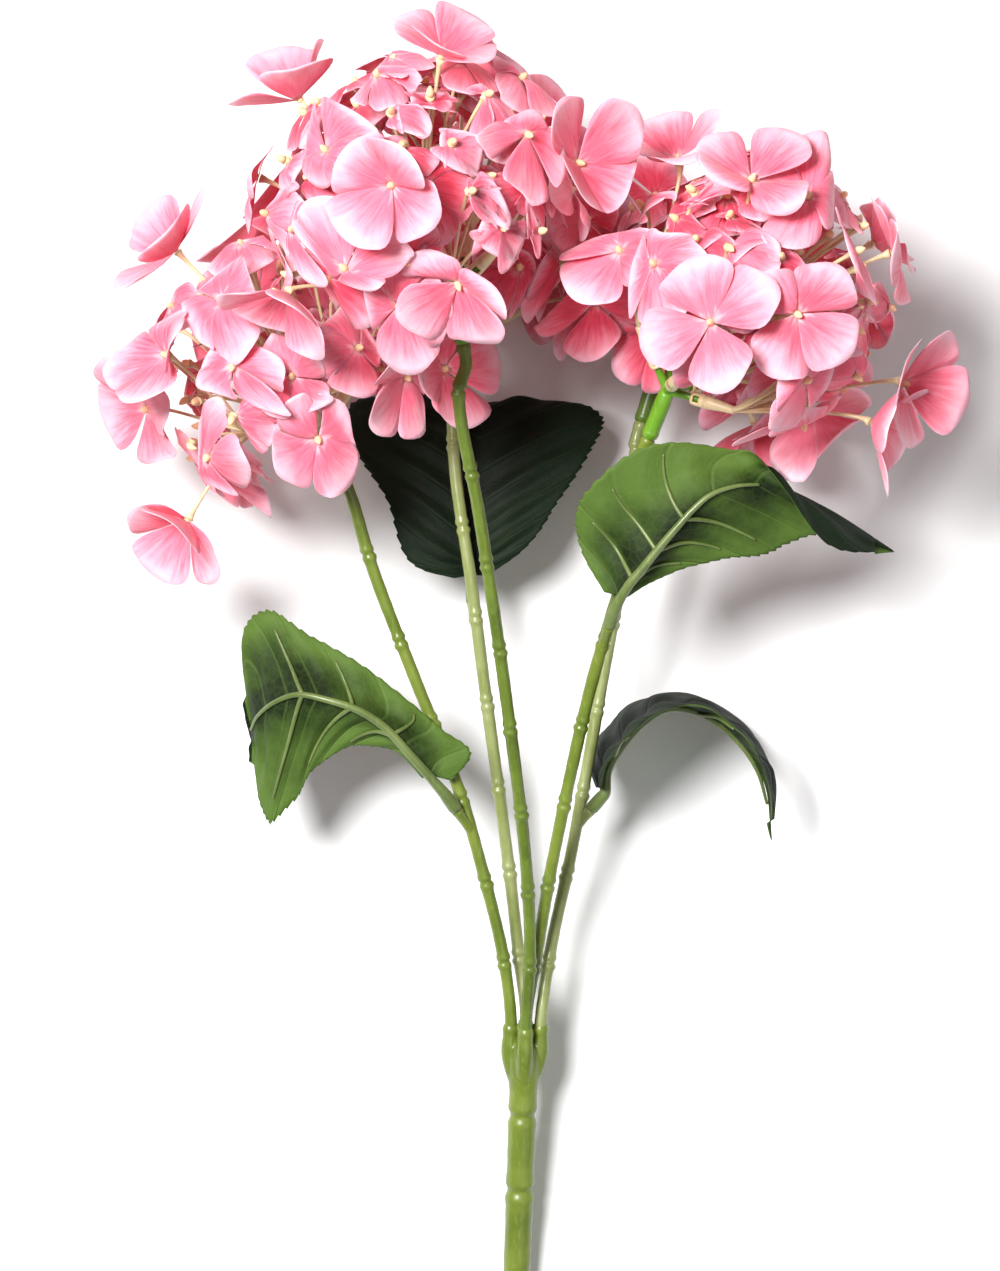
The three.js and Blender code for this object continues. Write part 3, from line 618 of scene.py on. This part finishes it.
def companions():
    """Lower florets between each one that stands proud of its head and the head's middle."""
    made = []
    for floret in FLORETS:
        head = HEADS[floret["head"]]
        offset = floret["centre"] - arr(head["centre"])
        if np.linalg.norm(offset) < on_head(head, unit(offset)) + PROUD or offset[2] < -20:
            continue
        for rank, share in enumerate(COMPANION_SHARES, 1):
            centre = arr(head["centre"]) + offset * share - arr((0, 0, COMPANION_DROP * rank))
            nearest = min(np.linalg.norm(f["centre"] - centre) for f in FLORETS + made)
            if nearest > COMPANION_ROOM:
                east = square_to(floret["facing"])
                made.append(dict(floret, centre=centre, east=east, level=-1.2 - 0.1 * rank))
    return made


FLORETS += companions()
for head_name, head in HEADS.items():
    FLORETS += inner_florets(head_name, head)
FLORETS = [turned_up(floret) for floret in FLORETS]


def walls_of(floret):
    """Half spaces for this floret's petals, so that a higher floret's petals lie over a lower one's."""
    down = arr((0, 0, -1))
    walls = [(down, SHIFT[2] - 0.4, -down)]
    centre = floret["centre"]
    for other in FLORETS:
        gap = np.linalg.norm(other["centre"] - centre)
        if other is floret or gap > 2.4 * PETAL_LENGTH:
            continue
        normal = unit(other["centre"] - centre)
        way = -normal
        if floret["head"] == other["head"]:
            outward = unit(floret["facing"] + other["facing"])
            step = floret["level"] - other["level"]
            angle = math.radians(np.interp(abs(step), [0, 0.8], SHINGLE_ANGLES))
            way = outward * math.copysign(1 / math.sin(angle), step)
            tipped = outward * math.copysign(math.sin(angle), step)
            normal = unit(across(normal, outward)) * math.cos(angle) - tipped
        middle = (centre + other["centre"]) / 2
        walls.append((normal, normal @ middle - PETAL_GAP / 2, way))
    for name, other in HEADS.items():
        if name != floret["head"]:
            normal = unit(arr(other["centre"]) - centre)
            walls.append((normal, normal @ arr(other["centre"]) - 0.8 * on_head(other, -normal), -normal))
    for points, radius in OBSTACLES:
        away = np.linalg.norm(points - centre, axis=1)
        if away.min() < PETAL_LENGTH * 1.3:
            point = points[away.argmin()]
            normal = unit(point - centre)
            walls.append((normal, normal @ point - radius - 0.4, -normal))
    return walls


def blade_curves(leaf):
    for key in ("rib", "left", "right"):
        leaf[key + "_line"] = [arr(p) for p in leaf[key]]


def blade_point(leaf, t, u):
    middle = catmull(leaf["rib_line"], t)
    edge = catmull(leaf["left_line" if u < 0 else "right_line"], t)
    return middle + (edge - middle) * abs(u)


def blade_normal(leaf, t, u):
    t0, t1 = max(t - 0.02, 0.03), min(t + 0.02, 0.93)
    tangent = blade_point(leaf, t1, u) - blade_point(leaf, t0, u)
    if abs(u) < 1e-6:
        side = blade_point(leaf, t1, 0.5) - blade_point(leaf, t1, -0.5)
    else:
        side = (blade_point(leaf, t1, u) - blade_point(leaf, t1, 0)) * np.sign(u)
    return unit(np.cross(side, tangent))


for leaf in LEAVES.values():
    blade_curves(leaf)
OBSTACLES = []
for head in HEADS.values():
    line, lengths = branch_line(head)
    OBSTACLES.append((np.concatenate([line[::10], [arr(head["hub"])]]), HUB_RADIUS))
for leaf in LEAVES.values():
    grid = [blade_point(leaf, t, u) for t in np.linspace(0, 1, 21) for u in (-1, -0.5, 0, 0.5, 1)]
    OBSTACLES.append((arr(grid), 1.5))

# Petals
CLOTH = 0.34
OUTLINE = [0, 0.12, 0.25, 0.4, 0.55, 0.7, 0.85, 1], [0.06, 0.25, 0.48, 0.75, 0.93, 1.0, 0.94, 0.72]


def reach_of(points, centre, walls):
    share = np.ones(len(points))
    for normal, limit, way in walls:
        if way @ normal > -0.999:
            continue
        climb = (points - centre) @ normal
        room = limit - centre @ normal
        share = np.where(climb > 1e-6, np.minimum(share, room / np.maximum(climb, 1e-6)), share)
    return share


def petal_grid(floret, turn, lift, shape):
    """Points of one petal, rows from the heart to the tip, and its place values."""
    side = np.cross(floret["facing"], floret["east"])
    out = floret["east"] * math.cos(turn) + side * math.sin(turn)
    beside = np.cross(floret["facing"], out)
    t, s = np.meshgrid(np.linspace(0, 1, shape["cells"]), np.linspace(-1, 1, shape["cells"]), indexing="ij")
    length, width = PETAL_LENGTH * shape["length"], PETAL_WIDTH * shape["width"]
    along = 0.9 + (length - 0.9) * t * (1 - 0.2 * np.abs(s) ** 2.6 * t**2)
    along = along + shape["skew"] * s * t**2
    wide = s * np.interp(t, *OUTLINE) * width / 2 * (1 + 0.03 * np.cos(5 * s + shape["phase"]))
    share = along / length
    rise = np.sin(lift) * along - shape["curl"] * 4.2 * share**2.6 + shape["cup"] * (wide / 10) ** 2 * share
    rise = rise + shape["ripple"] * np.sin(4.2 * s + shape["phase"]) * t**2 + shape["floor"]
    flat = np.cos(lift) * along
    points = (
        floret["centre"]
        + flat[..., None] * out
        + wide[..., None] * beside
        + (rise + 0.25)[..., None] * floret["facing"]
    )
    fan = np.arctan2(wide, along + 3.5) / 0.75
    inside = np.minimum(1 - np.abs(s), (1 - t) * 1.6 + 0.02) * np.ones_like(t)
    return points.reshape(-1, 3), fan.ravel(), share.ravel(), inside.ravel()


def add_petal(gather, floret, turn, walls, shape):
    best, centre = None, floret["centre"]
    rows = columns = shape["cells"]
    for lift in np.radians(np.arange(shape["lift"], 70, 9)):
        found = petal_grid(floret, turn, lift, shape)
        show = math.cos(lift) ** 0.8 * reach_of(found[0][::7], centre, walls).mean()
        if best is None or show > best[0]:
            best = (show, found)
    points, fan, share, inside = best[1]
    for sweep in range(6):
        for normal, limit, way in walls:
            over = np.maximum(points @ normal - limit, 0)
            points = points + over[:, None] * way
        if sweep < 4:
            grid = points.reshape(rows, columns, 3)
            soft = grid.copy()
            soft[1:-1] = grid[1:-1] * 0.6 + (grid[:-2] + grid[2:]) * 0.2
            soft[:, 1:-1] = soft[:, 1:-1] * 0.6 + (soft[:, :-2] + soft[:, 2:]) * 0.2
            if sweep:
                points = soft.reshape(-1, 3)
    grid = points.reshape(rows, columns, 3)
    normals = np.cross(np.gradient(grid, axis=0), np.gradient(grid, axis=1))
    normals /= np.linalg.norm(normals, axis=2)[..., None] + 1e-9
    if (normals.reshape(-1, 3) @ floret["facing"]).sum() < 0:
        normals = -normals
    half = CLOTH / 2 * np.minimum(1, inside * 6 + 0.35).reshape(rows, columns)[..., None]
    top, low = (grid + normals * half).reshape(-1, 3), (grid - normals * half).reshape(-1, 3)
    size = rows * columns
    faces, mats = [], []
    for r in range(rows - 1):
        for c in range(columns - 1):
            a, b = r * columns + c, (r + 1) * columns + c
            faces += [(a, a + 1, b + 1, b), (size + a, size + b, size + b + 1, size + a + 1)]
            mats += [0, 1]
    rim = [r * columns for r in range(rows)] + [(rows - 1) * columns + c for c in range(1, columns)]
    rim += [r * columns + columns - 1 for r in range(rows - 2, -1, -1)] + list(range(columns - 2, 0, -1))
    for a, b in zip(rim, rim[1:] + rim[:1]):
        faces.append((a, b, size + b, size + a))
        mats.append(0)
    heart = columns // 2
    first = np.cross(grid[1, heart] - grid[0, heart], grid[0, heart + 1] - grid[0, heart]) @ floret["facing"]
    if first > 0:
        faces = [face[::-1] for face in faces]
    one = np.stack([fan, share], axis=1)
    two = np.stack([np.full(size, shape["chance"]), inside], axis=1)
    # Florets deep in the head and those of the low heads take the petal materials with painted shade
    mats = [mat + shape["deep"] for mat in mats]
    gather.add(np.concatenate([top, low]), faces, mats, np.tile(one, (2, 1)), np.tile(two, (2, 1)))


def add_floret(petals, beads, floret):
    walls = walls_of(floret)
    tone = RNG.uniform(0, 1)
    inner = floret["level"] < DEEP_LEVEL
    up = unit(floret["facing"] + RNG.normal(0, LEAN, 3))
    floret = dict(floret, facing=up, east=unit(across(floret["east"], up)))
    bud, bowl = RNG.uniform(0, 1) ** 2, RNG.normal(0.35, 0.65)
    for i in range(4):
        shape = dict(
            length=RNG.uniform(0.99, 1.17) * (0.93 if inner else 1),
            width=RNG.uniform(0.98, 1.24),
            skew=RNG.uniform(-1.2, 1.2),
            # deep: the offset to the petal materials with painted shade
            deep=2 if inner or floret["head"] in LOW_HEADS else 0,
            cells=7 if inner else 9,
            phase=RNG.uniform(0, 6.28),
            curl=bowl + RNG.uniform(-0.45, 0.6),
            cup=RNG.uniform(0.8, 3.6),
            ripple=RNG.uniform(0.1, 0.6),
            floor=0.45 * (i % 2),
            lift=8 + 26 * bud + RNG.uniform(-8, 20),
            chance=float(np.clip(tone * 0.6 + RNG.uniform(0, 0.4), 0.01, 0.99)),
        )
        add_petal(petals, floret, math.pi / 2 * i + RNG.uniform(-0.15, 0.15), walls, shape)
    up, east, c = floret["facing"], floret["east"], floret["centre"]
    heights = [0.3, 0.9, 1.7, 2.5, 3.2, 3.8, 4.1]
    drift = across(RNG.normal(0, 0.22, 3), up)
    radii = [1.0, 1.4, 1.45, 1.25, 0.95, 0.55, 0.2]
    verts, faces, _ = tube([c + (up + drift * h / 4) * h for h in heights], radii, 12, caps=(0, 0.1))
    beads.add(verts, faces)


def add_twig(gather, start, direction, floret):
    end = floret["centre"] - floret["facing"] * 0.1
    bend = [start, start + direction * 7, end - floret["facing"] * 9, end]
    ts = np.linspace(0, 1, 15)
    weights = [((1 - t) ** 3, 3 * t * (1 - t) ** 2, 3 * t * t * (1 - t), t**3) for t in ts]
    line = [sum(w * point for w, point in zip(four, bend)) for four in weights]
    radii = 1.15 - 0.45 * np.sin(ts * math.pi) - 0.2 * ts
    radii[-2:] = [1.15, 1.9]
    verts, faces, spots = tube(line, radii, 8)
    gather.add(verts, faces, one=spots)


def add_socket(gather, hub, direction):
    """A hollow socket with a window through its wall, closed where its neck begins."""
    sides, hollow_end = 20, 16.0
    stations = [SOCKET_START, 10.8, 11.6, 12.4, 13.2, 14.0, 15.0, hollow_end]
    up = square_to(direction)
    beside = np.cross(direction, up)
    outer = np.interp(stations, [10.4, 11, 16], [2.3, 2.65, 2.6])
    inner = np.full(len(stations), ARM_RADIUS + FIT + 0.1)
    turns = (np.arange(sides) + 0.5) * 2 * math.pi / sides
    spokes = np.cos(turns)[:, None] * up + np.sin(turns)[:, None] * beside
    rings = lambda radii: [hub + direction * s + spokes * r for s, r in zip(stations, radii)]
    count = len(stations) * sides
    verts = np.concatenate([*rings(outer), *rings(inner)])
    window = lambda k, i: 2 <= k <= 4 and i in (0, sides - 1, 1, sides - 2)
    at = lambda layer, k, i: layer * count + k * sides + i % sides
    faces = []
    last = len(stations) - 1
    for k in range(last):
        for i in range(sides):
            if window(k, i):
                for dk, di, a, b in ((-1, 0, (k, i), (k, i + 1)), (1, 0, (k + 1, i + 1), (k + 1, i)),
                                     (0, -1, (k + 1, i), (k, i)), (0, 1, (k, i + 1), (k + 1, i + 1))):
                    if not window(k + dk, (i + di) % sides):
                        faces.append((at(0, *a), at(0, *b), at(1, *b), at(1, *a)))
                continue
            faces.append((at(0, k, i), at(0, k, i + 1), at(0, k + 1, i + 1), at(0, k + 1, i)))
            faces.append((at(1, k, i), at(1, k + 1, i), at(1, k + 1, i + 1), at(1, k, i + 1)))
    for i in range(sides):
        faces.append((at(0, 0, i + 1), at(0, 0, i), at(1, 0, i), at(1, 0, i + 1)))
    gather.add(verts, faces)
    neck = [hollow_end - 0.3, hollow_end, 18, 21, 24, 26.5, SOCKET_END]
    radii = [1.6, 2.58, 2.45, 2.15, 1.8, 1.6, 1.5]
    verts, faces, spots = tube([hub + direction * s for s in neck], radii, 20, caps=(0, 0.8))
    gather.add(verts, faces, one=spots)


for head_name, head in HEADS.items():
    hub = arr(head["hub"])
    for number, arm in enumerate(arm_directions(head), 1):
        name = f"{head_name}_{number}"
        petals, beads, twigs = Gather(), Gather(), Gather()
        add_socket(twigs, hub, arm)
        members = [f for f in FLORETS if f["head"] == head_name and f["spray"] == number]
        for floret in members:
            add_twig(twigs, hub + arm * (SOCKET_END - 1.5), arm, floret)
            add_floret(petals, beads, floret)
        node = ["spray_" + name]
        twigs.build("twigs_" + name, [CREAM], node, "petals")
        if members:
            petals.build("petals_" + name, [PETAL, PETAL_BACK, PETAL_PAINTED_SHADE, PETAL_PAINTED_SHADE_BACK], node, "petals")
            beads.build("beads_" + name, [BEAD], node, "petals")


# Stems
def add_tube(gather, points, radii, sides, **rest):
    verts, faces, spots = tube(points, radii, sides, **rest)
    gather.add(verts, faces, one=spots)


def smooth_steps(x, places, values):
    """Values joined by smooth steps."""
    places, values = arr(places), arr(values)
    i = np.clip(np.searchsorted(places, x) - 1, 0, len(places) - 2)
    w = np.clip((x - places[i]) / (places[i + 1] - places[i]), 0, 1)
    w = w * w * (3 - 2 * w)
    return values[i] * (1 - w) + values[i + 1] * w


trunk = Gather()
length = np.linalg.norm(TRUNK_FORK - TRUNK_CUT)
places, values = [0, 0.008, 0.02, 0.2], [0.8, 0.86, 0.9, 0.86]
for joint in TRUNK_JOINTS:
    places += [joint - 0.06, joint - 0.03, joint, joint + 0.024, joint + 0.08]
    values += [0.88, 0.93, TRUNK_NECK / TRUNK_RADIUS, 0.93, 0.88]
places += [0.9, 0.965, 1.0, 1.02]
values += [1.0, 1.1, 0.95, 0.7]
share = np.linspace(0, 1.02, 260)
radii = smooth_steps(share, places, values) * TRUNK_RADIUS
radii = radii * (1 + 0.012 * np.sin(share * 31) + 0.008 * np.sin(share * 83))
add_tube(trunk, [TRUNK_CUT + (TRUNK_FORK - TRUNK_CUT) * s for s in share], radii, 48)
for head in HEADS.values():
    seat = seat_of(head)
    offset = seat - TRUNK_FORK
    steps = np.linspace(-20, COLLAR_LENGTH + 0.6, 50)
    collar = smooth_steps(steps, [-20, -8, 0, 5, 7.4, COLLAR_LENGTH + 0.6], [2.4, 3.2, 3.4, 2.95, 3.2, 2.6])
    inward = smooth_steps(steps, [-20, -1], [0.35, 1.0])
    add_tube(trunk, [TRUNK_FORK + offset * k + TRUNK_AXIS * s for s, k in zip(steps, inward)], collar, 28)
fused(trunk.build("trunk_skin", [STEM], ["trunk"], "stem_green"), 0.45, 9)

for head_name, head in HEADS.items():
    gather = Gather()
    line, lengths = branch_line(head)
    total = lengths[-1]
    peg = total - TIP_LENGTH
    s = np.arange(FIT, total, 0.75)
    radii = BRANCH_RADIUS * (1 + 0.02 * np.sin(s * 0.21) + 0.012 * np.sin(s * 0.9))
    lean = np.zeros(len(s))
    for k, knuckle in enumerate(np.arange(KNUCKLE_PITCH, peg - 8, KNUCKLE_PITCH)):
        knuckle = knuckle + RNG.uniform(-1.5, 1.5)
        away = s - knuckle
        radii += 0.5 * np.exp(-((away + 1.7) ** 2) / 1.7) + 0.42 * np.exp(-((away - 1.7) ** 2) / 1.4)
        radii -= 0.34 * np.exp(-(away**2) / 0.35)
        lean += 0.07 * np.exp(-((away + 1.2) ** 2) / 2.2) * (1 if k % 2 else -1)
    places = [peg - 4, peg - 2, peg - 0.4, peg + 0.3]
    shoulder = np.interp(s, places, [BRANCH_RADIUS, 2.8, 2.75, TIP_RADIUS])
    radii = np.where(s > peg - 4, shoulder, radii)
    twist = RNG.uniform(0, 6)
    bulge = lambda k, turns: 1 + abs(lean[k]) * np.cos(turns - twist - (3.1 if lean[k] < 0 else 0))
    add_tube(gather, at_length(line, lengths, s), radii, 20, bulge=bulge, caps=(0, 0.4))
    for leaf in LEAVES.values():
        if leaf["branch"] == head_name:
            root, end = map(arr, leaf["stub"])
            ahead = unit(end - root)
            run = np.linalg.norm(end - root)
            steps = np.linspace(0, run + 5.5, 22)
            places = [0, run * 0.5, run - 2.2, run - 0.6, run, run + 0.6, run + 5.5]
            radii = smooth_steps(steps, places, [2.1, 1.95, 2.1, 2.35, 2.2, 1.35, 1.3])
            add_tube(gather, [root + ahead * t for t in steps], radii, 18, caps=(0, 0.3))
    look, slot = (STEM_PALE, "stem_pale") if head_name in LOW_HEADS else (STEM, "stem_green")
    if head_name == "front":
        look = STEM_DARK
    gather.build("stem_" + head_name, [look], ["branch_" + head_name], slot)
    sleeve = Gather()
    hub, axis = arr(head["hub"]), hub_axis(head)
    steps = np.linspace(-HUB_LENGTH, 1.6, 40)
    places = [-20, -19.4, -18, -16.5, -6, -2, 1.6]
    radii = smooth_steps(steps, places, [2.5, 2.95, 3.3, 3.05, 3.15, 2.9, 1.5])
    add_tube(sleeve, [hub + axis * t for t in steps], radii, 24, caps=(0, 0.5))
    for arm in arm_directions(head):
        steps = np.linspace(0, ARM_LENGTH - 0.2, 18)
        radii = smooth_steps(steps, [0, 4, 9.4, 9.9, ARM_LENGTH], [2.2, 1.65, 1.5, 1.3, 1.15])
        add_tube(sleeve, [hub + arm * t for t in steps], radii, 14, caps=(0, 0.4))
    # The low heads' hubs take the darker hub green, which is painted shade
    look = HUB_PAINTED_SHADE if head_name in LOW_HEADS else HUB
    fused(sleeve.build("hub_skin_" + head_name, [look], ["hub_" + head_name], "hub_green"), 0.33, 3)


# Leaves
def relief_at(t, u):
    """How far a blade falls away from its midrib, with its puckers and wavy margin."""
    lobe = np.minimum(1, t * 6) * np.minimum(1, (1 - t) * 6)
    beside = np.abs(u)
    wide = np.clip(beside / 0.5, 0, 1)
    between = np.sin(np.clip(beside * 1.05, 0, 1) * math.pi) ** 0.7
    pucker = np.cos((t - 0.17 * beside) * 16 * math.pi) * between
    wave = 0.5 * np.sin(t * 17 + u * 3) * beside**3 + 0.35 * np.sin(t * 41 + 2 * u) * beside**4
    return lobe * (3.2 * wide * wide * (3 - 2 * wide) + 0.85 * pucker + wave)


def build_leaf(name, leaf):
    stations, half, thick = 120, 18, 0.42
    us = np.concatenate([-np.linspace(1, 0, half + 1)[:-1], np.linspace(0, 1, half + 1)])
    ts = 0.02 + 0.975 * np.linspace(0, 1, stations)
    points, normals = np.zeros((stations, len(us), 3)), np.zeros((stations, len(us), 3))
    teeth = 31
    for i, t in enumerate(ts):
        middle, left, right = (catmull(leaf[key + "_line"], t) for key in ("rib", "left", "right"))
        for k, u in enumerate(us):
            edge = left if u < 0 else right
            saw = (t * teeth + 0.37 * (u < 0)) % 1
            depth = 0.036 * (1 - saw) * min(1, t * 8) * min(1, (1 - t) * 14)
            pull = 1 - depth * np.clip((abs(u) - 0.7) / 0.3, 0, 1) ** 2
            points[i, k] = middle + (edge - middle) * abs(u) * pull
        for k in range(len(us)):
            normals[i, k] = blade_normal(leaf, t, us[k])
    t, u = np.meshgrid(ts, us, indexing="ij")
    points = points + normals * relief_at(t, u)[..., None]
    rim = np.ones(points.shape[:2])
    rim[0], rim[-1], rim[:, 0], rim[:, -1] = 0.3, 0.3, 0.3, 0.3
    skin = normals * (rim * thick / 2)[..., None]
    top, low = points + skin, points - skin
    rows, columns = points.shape[:2]
    size = rows * columns
    faces, mats = [], []
    for r in range(rows - 1):
        for c in range(columns - 1):
            a, b = r * columns + c, (r + 1) * columns + c
            faces += [(a, a + 1, b + 1, b), (size + a, size + b, size + b + 1, size + a + 1)]
            mats += [0, 1]
    edge = [r * columns for r in range(rows)] + [(rows - 1) * columns + c for c in range(1, columns)]
    edge += [r * columns + columns - 1 for r in range(rows - 2, -1, -1)] + list(range(columns - 2, 0, -1))
    for a, b in zip(edge, edge[1:] + edge[:1]):
        faces.append((a, b, size + b, size + a))
        mats.append(1)
    spots = np.stack([t.ravel(), u.ravel() / 2 + 0.5], axis=1)
    blade = Gather()
    blade.add(np.concatenate([top.reshape(-1, 3), low.reshape(-1, 3)]), faces, mats, np.tile(spots, (2, 1)))
    blade.build("blade_" + name, [LEAF_UPPER, LEAF_UNDER], ["leaf_" + name], "leaf")

    def under(t, u, drop):
        return blade_point(leaf, t, u) + blade_normal(leaf, t, u) * (relief_at(t, u) - drop)

    ribs = Gather()
    root, end = map(arr, leaf["stub"])
    ahead = unit(end - root)
    sleeve = [end + ahead * s for s in (FIT, 1.2, 4, 7, SLEEVE_LENGTH)]
    ts = np.linspace(0.07, 0.09 + leaf["rib_end"] * 10 / 11, 44)
    midrib = [under(t, 0, drop) for t, drop in zip(ts, np.linspace(1.9, 0.7, 44))]
    joined = [arr(p) for p in [*sleeve, *midrib[2::6], midrib[-1]]]
    line, lengths = by_length(joined, 400)
    s = np.linspace(0, lengths[-1], 110)
    places = [0, 0.8, 6, SLEEVE_LENGTH, SLEEVE_LENGTH + 7, lengths[-1] * 0.6, lengths[-1]]
    radii = np.interp(s, places, [2.35, 2.7, 2.6, 2.3, 1.9, 1.35, 0.6])
    add_tube(ribs, at_length(line, lengths, s), radii, 14, caps=(0, 0.3))
    for start in np.array([0.2, 0.41, 0.62]) * leaf["rib_end"]:
        for side in (-1, 1):
            steps = np.linspace(0, 1, 26)
            vein = [under(start + v * 0.13, side * v * 0.78, 1.0 - 0.5 * v) for v in steps]
            add_tube(ribs, vein, 0.95 - 0.5 * steps, 10, caps=(0, 0.2))
    ribs.build("ribs_" + name, [RIB], ["rib_" + name], "leaf_rib")


for leaf_name, leaf in LEAVES.items():
    build_leaf(leaf_name, leaf)


# Stage, camera and light
def flat_material(name, colour, roughness):
    made, n, shader = material(name, roughness)
    n.put(shader.inputs["Base Color"], colour)
    return made


bpy.ops.mesh.primitive_plane_add(size=12)
floor = bpy.context.object
floor.name = "floor"
floor.data.materials.append(flat_material("floor", (0.9, 0.9, 0.9, 1), 0.9))

centre = (arr((-9.7, 159.5, 0)) + SHIFT) * MM
camera = bpy.data.objects.new("camera", bpy.data.cameras.new("camera"))
camera.data.lens = 149
camera.data.sensor_width = 36
camera.location = (centre[0], centre[1], 2.08)
bpy.context.scene.collection.objects.link(camera)
bpy.context.scene.camera = camera


def area(name, place, target, size, energy, colour=(1, 1, 1)):
    light = bpy.data.lights.new(name, "AREA")
    light.shape = "DISK"
    light.size, light.energy, light.color = size, energy, colour
    obj = bpy.data.objects.new(name, light)
    obj.location = place
    aim = arr(target) - arr(place)
    obj.rotation_euler = Vector(aim).to_track_quat("-Z", "Y").to_euler()
    bpy.context.scene.collection.objects.link(obj)


area("key", (-0.7, 0.5, 1.9), (0, 0.05, 0.1), 0.7, 76)
area("fill", (0.9, -0.7, 1.8), (0, 0.05, 0.1), 1.6, 7)
world = bpy.data.worlds.new("world")
world.use_nodes = True
world.node_tree.nodes["Background"].inputs[0].default_value = (1, 1, 1, 1)
world.node_tree.nodes["Background"].inputs[1].default_value = 0.2
bpy.context.scene.world = world
bpy.context.scene.view_settings.view_transform = "Standard"
